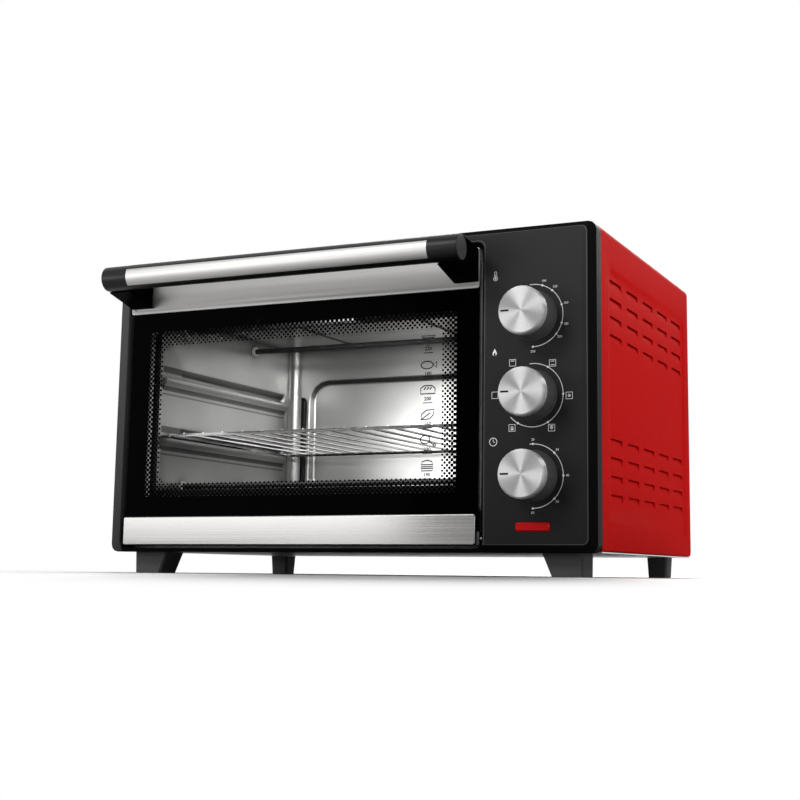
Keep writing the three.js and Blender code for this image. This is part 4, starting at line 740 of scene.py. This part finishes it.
def food_marks():
    """Six small generic pictures of food with a plain oven temperature under each."""
    s = Shape()
    x, top, pitch = 364.5, 226.0, 24.4
    line, scale = 1.15, 1.4

    def draw(z, points, closed=False):
        drawn = [(x + a * scale, z + b * scale) for a, b in points]
        s.stroke(drawn, line, PRINT_FRONT_Y, PRINT_BACK_Y, closed)

    def oval(z, a, b, width, height, n=20):
        draw(z, [(a + width * math.cos(2 * math.pi * i / n), b + height * math.sin(2 * math.pi * i / n))
                 for i in range(n)], True)

    def pizza(z):
        draw(z, [(-5, 3), (0, -4.5), (5, 3)], True)
        draw(z, [(-4.2, 1.6), (4.2, 1.6)])
        oval(z, 0.6, -1.2, 0.8, 0.8, 10)

    def fish(z):
        oval(z, -0.8, 0, 4.6, 2.6)
        draw(z, [(3.8, 0), (6.4, 2.2), (6.4, -2.2)], True)

    def loaf(z):
        draw(z, [(-5.4, -2.6), (-5.4, 1.2), (-3, 3), (3, 3), (5.4, 1.2), (5.4, -2.6)], True)
        for a in (-2.2, 0, 2.2):
            draw(z, [(a - 0.8, 0.2), (a + 0.8, 2)])

    def leaf(z):
        draw(z, [(-5, -3), (-4.4, 0.8), (-1, 3.4), (5, 3.8), (4.2, 0), (1.6, -2.6)], True)
        draw(z, [(-5, -3), (2.2, 1.6)])

    def leg(z):
        oval(z, -1.6, 0.6, 3.6, 2.8)
        draw(z, [(1.2, -1), (4.6, -3)])
        oval(z, 5.4, -3.2, 0.9, 0.9, 10)

    def bun(z):
        draw(z, [(-4.6, 0.8), (-3.4, 3), (0, 3.8), (3.4, 3), (4.6, 0.8)], True)
        draw(z, [(-4.6, -0.6), (4.6, -0.6)])
        draw(z, [(-4.6, -1.8), (-4, -3.4), (4, -3.4), (4.6, -1.8)], True)

    kinds = [(pizza, "220"), (fish, "180"), (loaf, "200"), (leaf, "160"), (leg, "230"), (bun, "190")]
    for i, (drawing, value) in enumerate(kinds):
        z = top - i * pitch
        drawing(z)
        s.words(value, x, z - 8.6, 3.6, PRINT_FRONT_Y, bold=0.14)
        s.stroke([(x - 5, z - 12.4), (x + 5, z - 12.4)], 0.9, PRINT_FRONT_Y, PRINT_BACK_Y)
    s.finish("food_marks", "door", INK, "door_glass")


glass_border()
glass_dots()
food_marks()


# ---------------------------------------------------------------- knobs and handle
def pointer_marks():
    """The dark mark on each knob's cap, which points at the figure."""
    outer, inner, half = 19.8, 11.6, 1.05
    front_y, back_y = -35.2, -34.92
    for knob, z in KNOB_Z.items():
        s = Shape().prism(rectangle(KNOB_X - outer, KNOB_X - inner, z - half, z + half), front_y, back_y)
        s.finish(f"{knob}_pointer_mark", f"{knob}_knob", INK, "black_plastic")


def handle_ends():
    """A shallow cap pressed on each end of the tube."""
    r, sides = 12.1, 40
    for side, x0, x1 in (("left", 16.3, 15.8), ("right", 418.1, 418.6)):
        s = Shape().rod((x0, HANDLE_Y, HANDLE_Z), (x1, HANDLE_Y, HANDLE_Z), r, sides)
        s.finish(f"handle_end_cap_{side}", "door", END_CAP, "black_plastic", smooth=30, bevel=0.3)


pointer_marks()
handle_ends()


# ---------------------------------------------------------------- cavity corners and rear screws
def rear_coves():
    """The rounded rear corners of the cavity, as thin strips between its walls."""
    steps, centre_y, floor_z, roof_z = 10, 283.2, 80.4, 275.6
    back_r, front_r = 12.0, 11.7
    for side, centre_x, way in (("left", 55.2, -1), ("right", 379.2, 1)):
        s = Shape()
        turns = [math.pi / 2 * i / steps for i in range(steps + 1)]
        back_low, back_high, front_low, front_high = (
            [s.vert((centre_x + way * r * math.cos(t), centre_y + r * math.sin(t), z)) for t in turns]
            for r in (back_r, front_r) for z in (floor_z, roof_z))
        sides = ((back_low, back_high), (front_high, front_low), (front_low, back_low), (back_high, front_high))
        for first, second in sides:
            s.skin(first, second, closed=False)
        for i in (0, steps):
            s.face((back_low[i], back_high[i], front_high[i], front_low[i]))
        s.finish(f"cavity_rear_cove_{side}", "case", SHEET, "aluminised_steel", smooth=40)


def rear_screws():
    """Pan-head screws that hold the rear panel, round its edge: a wide disc with a smaller one on it."""
    s = Shape()
    top, middle, low, left, right = 318.0, 175.5, 33.0, 12.0, 523.0
    places = [(x, z) for z in (top, low) for x in (left, 182.0, 353.0, right)]
    places += [(x, middle) for x in (left, right)]
    for x, z in places:
        for y0, y1, r in ((0, 0.9, 3.4), (0.9, 1.5, 2.5)):
            s.rod((x, REAR_PANEL_Y + y0, z), (x, REAR_PANEL_Y + y1, z), r, 20)
    s.finish("rear_panel_screws", "case", CHROME, "chrome_wire", smooth=30)


rear_coves()
rear_screws()


# ---------------------------------------------------------------- floor and light
def background_share(tree):
    """1 where a ray from the eye, a mirror or glass meets the background, and 0 where light is gathered."""
    path = tree.nodes.new("ShaderNodeLightPath")
    seen = path.outputs["Is Camera Ray"]
    for kind in ("Is Glossy Ray", "Is Transmission Ray"):
        either = tree.nodes.new("ShaderNodeMath")
        either.operation = "MAXIMUM"
        tree.links.new(seen, either.inputs[0])
        tree.links.new(path.outputs[kind], either.inputs[1])
        seen = either.outputs[0]
    return seen


def floor_look():
    """Pale and matt round the oven, where its real shadow and a painted shadow fall, and the background's white
    farther out.
    """
    s = Surface("pale_floor", (0.92, 0.92, 0.92), 0.42, Specular_IOR_Level=0.3)
    point = s.node("ShaderNodeTexCoord").outputs["Object"]

    def measure(operation, direction=(0, 0, 0)):
        made = s.node("ShaderNodeVectorMath", operation=operation)
        made.inputs[1].default_value = direction
        s.link(point, made.inputs[0])
        return made.outputs["Value"]

    # Distances on the floor along the photograph's line of sight, on which its shadow lies, and across it.
    ahead, across = measure("DOT_PRODUCT", (0.434, -0.901, 0)), measure("DOT_PRODUCT", (0.901, 0.434, 0))
    # Painted shade, dark close to the oven, but not beside it.
    beside = s.ramp(s.number("ABSOLUTE", across), 0.29, 0.36, shape="SMOOTHSTEP")
    close = s.towards_one(beside, s.openness(300, 3.0, samples=16))
    # A long soft painted shadow in front of the oven, over an ellipse.
    centre, half_length, half_width = 0.45, 0.83, 0.18
    length = s.number("DIVIDE", s.number("SUBTRACT", ahead, centre), half_length)
    width = s.number("DIVIDE", across, half_width)
    reached = s.number("SQRT", s.number("ADD", s.number("POWER", length, 2), s.number("POWER", width, 2)))
    painted_shadow = s.ramp(reached, 0.42, 1, low=0.35, shape="SMOOTHSTEP")
    shade = s.number("MULTIPLY", close, painted_shadow)
    s.scale_colour(shade)
    # White farther out, where the eye or a mirror meets it.
    far = s.ramp(measure("LENGTH"), 0.5, 1.3, shape="SMOOTHSTEP")
    glow = s.node("ShaderNodeEmission", Color=WHITE)
    # The painted shade also dims this white.
    s.link(shade, glow.inputs["Strength"])
    mix = s.node("ShaderNodeMixShader")
    s.link(s.number("MULTIPLY", background_share(s.tree), far), mix.inputs["Fac"])
    s.link(s.shader.outputs[0], mix.inputs[1])
    s.link(glow.outputs[0], mix.inputs[2])
    s.link(mix.outputs[0], s.tree.nodes["Material Output"].inputs["Surface"])
    return s


def make_floor():
    side = 12.0
    mesh = bpy.data.meshes.new("floor")
    mesh.from_pydata([(x, y, 0) for x, y in square(0, 0, side)], [], [(0, 1, 2, 3)])
    floor = bpy.data.objects.new("floor", mesh)
    floor.data.materials.append(floor_look().made)
    bpy.context.scene.collection.objects.link(floor)


def panel_light(name, where, aim, size, power, spread=180):
    """A rectangular light that the camera doesn't see, in metres and watts."""
    lamp = bpy.data.lights.new(name, "AREA")
    lamp.shape = "RECTANGLE"
    lamp.size, lamp.size_y = size
    lamp.energy = power
    lamp.spread = math.radians(spread)
    made = bpy.data.objects.new(name, lamp)
    bpy.context.scene.collection.objects.link(made)
    made.location = where
    made.rotation_euler = (Vector(aim) - Vector(where)).to_track_quat("-Z", "Y").to_euler()
    made.visible_camera = False


def make_light():
    """A soft room, white where it is seen, with five panels round the oven and one in its mouth."""
    world = bpy.data.worlds.new("studio")
    bpy.context.scene.world = world
    world.use_nodes = True
    tree = world.node_tree
    soft = tree.nodes["Background"]
    seen = tree.nodes.new("ShaderNodeBackground")
    for background, strength in ((soft, 0.25), (seen, 1.0)):
        background.inputs["Color"].default_value = WHITE
        background.inputs["Strength"].default_value = strength
    mix = tree.nodes.new("ShaderNodeMixShader")
    tree.links.new(background_share(tree), mix.inputs["Fac"])
    tree.links.new(soft.outputs[0], mix.inputs[1])
    tree.links.new(seen.outputs[0], mix.inputs[2])
    tree.links.new(mix.outputs[0], tree.nodes["World Output"].inputs["Surface"])
    panel_light("key", (-0.5, -1.45, 1.2), (0.1, -0.1, 0.2), (0.7, 0.5), 14)
    panel_light("left_low", (-0.9, -1.35, 0.33), (0.05, -0.15, 0.16), (0.76, 0.5), 7.5)
    panel_light("right", (1.35, 0.0, 1.05), (0.2, 0.05, 0.15), (0.8, 0.6), 9)
    panel_light("low_right", (1.5, -0.75, 0.36), (0.2, -0.1, 0.17), (0.12, 0.45), 1.5)
    panel_light("behind", (-0.2, 2.6, 1.5), (0, 0, 0), (2.4, 1.2), 60)
    panel_light("oven", at(250, 60, 268), at(150, 220, 90), (0.2, 0.03), 0.4, spread=120)


make_floor()
make_light()
bpy.context.scene.view_settings.view_transform = "Standard"
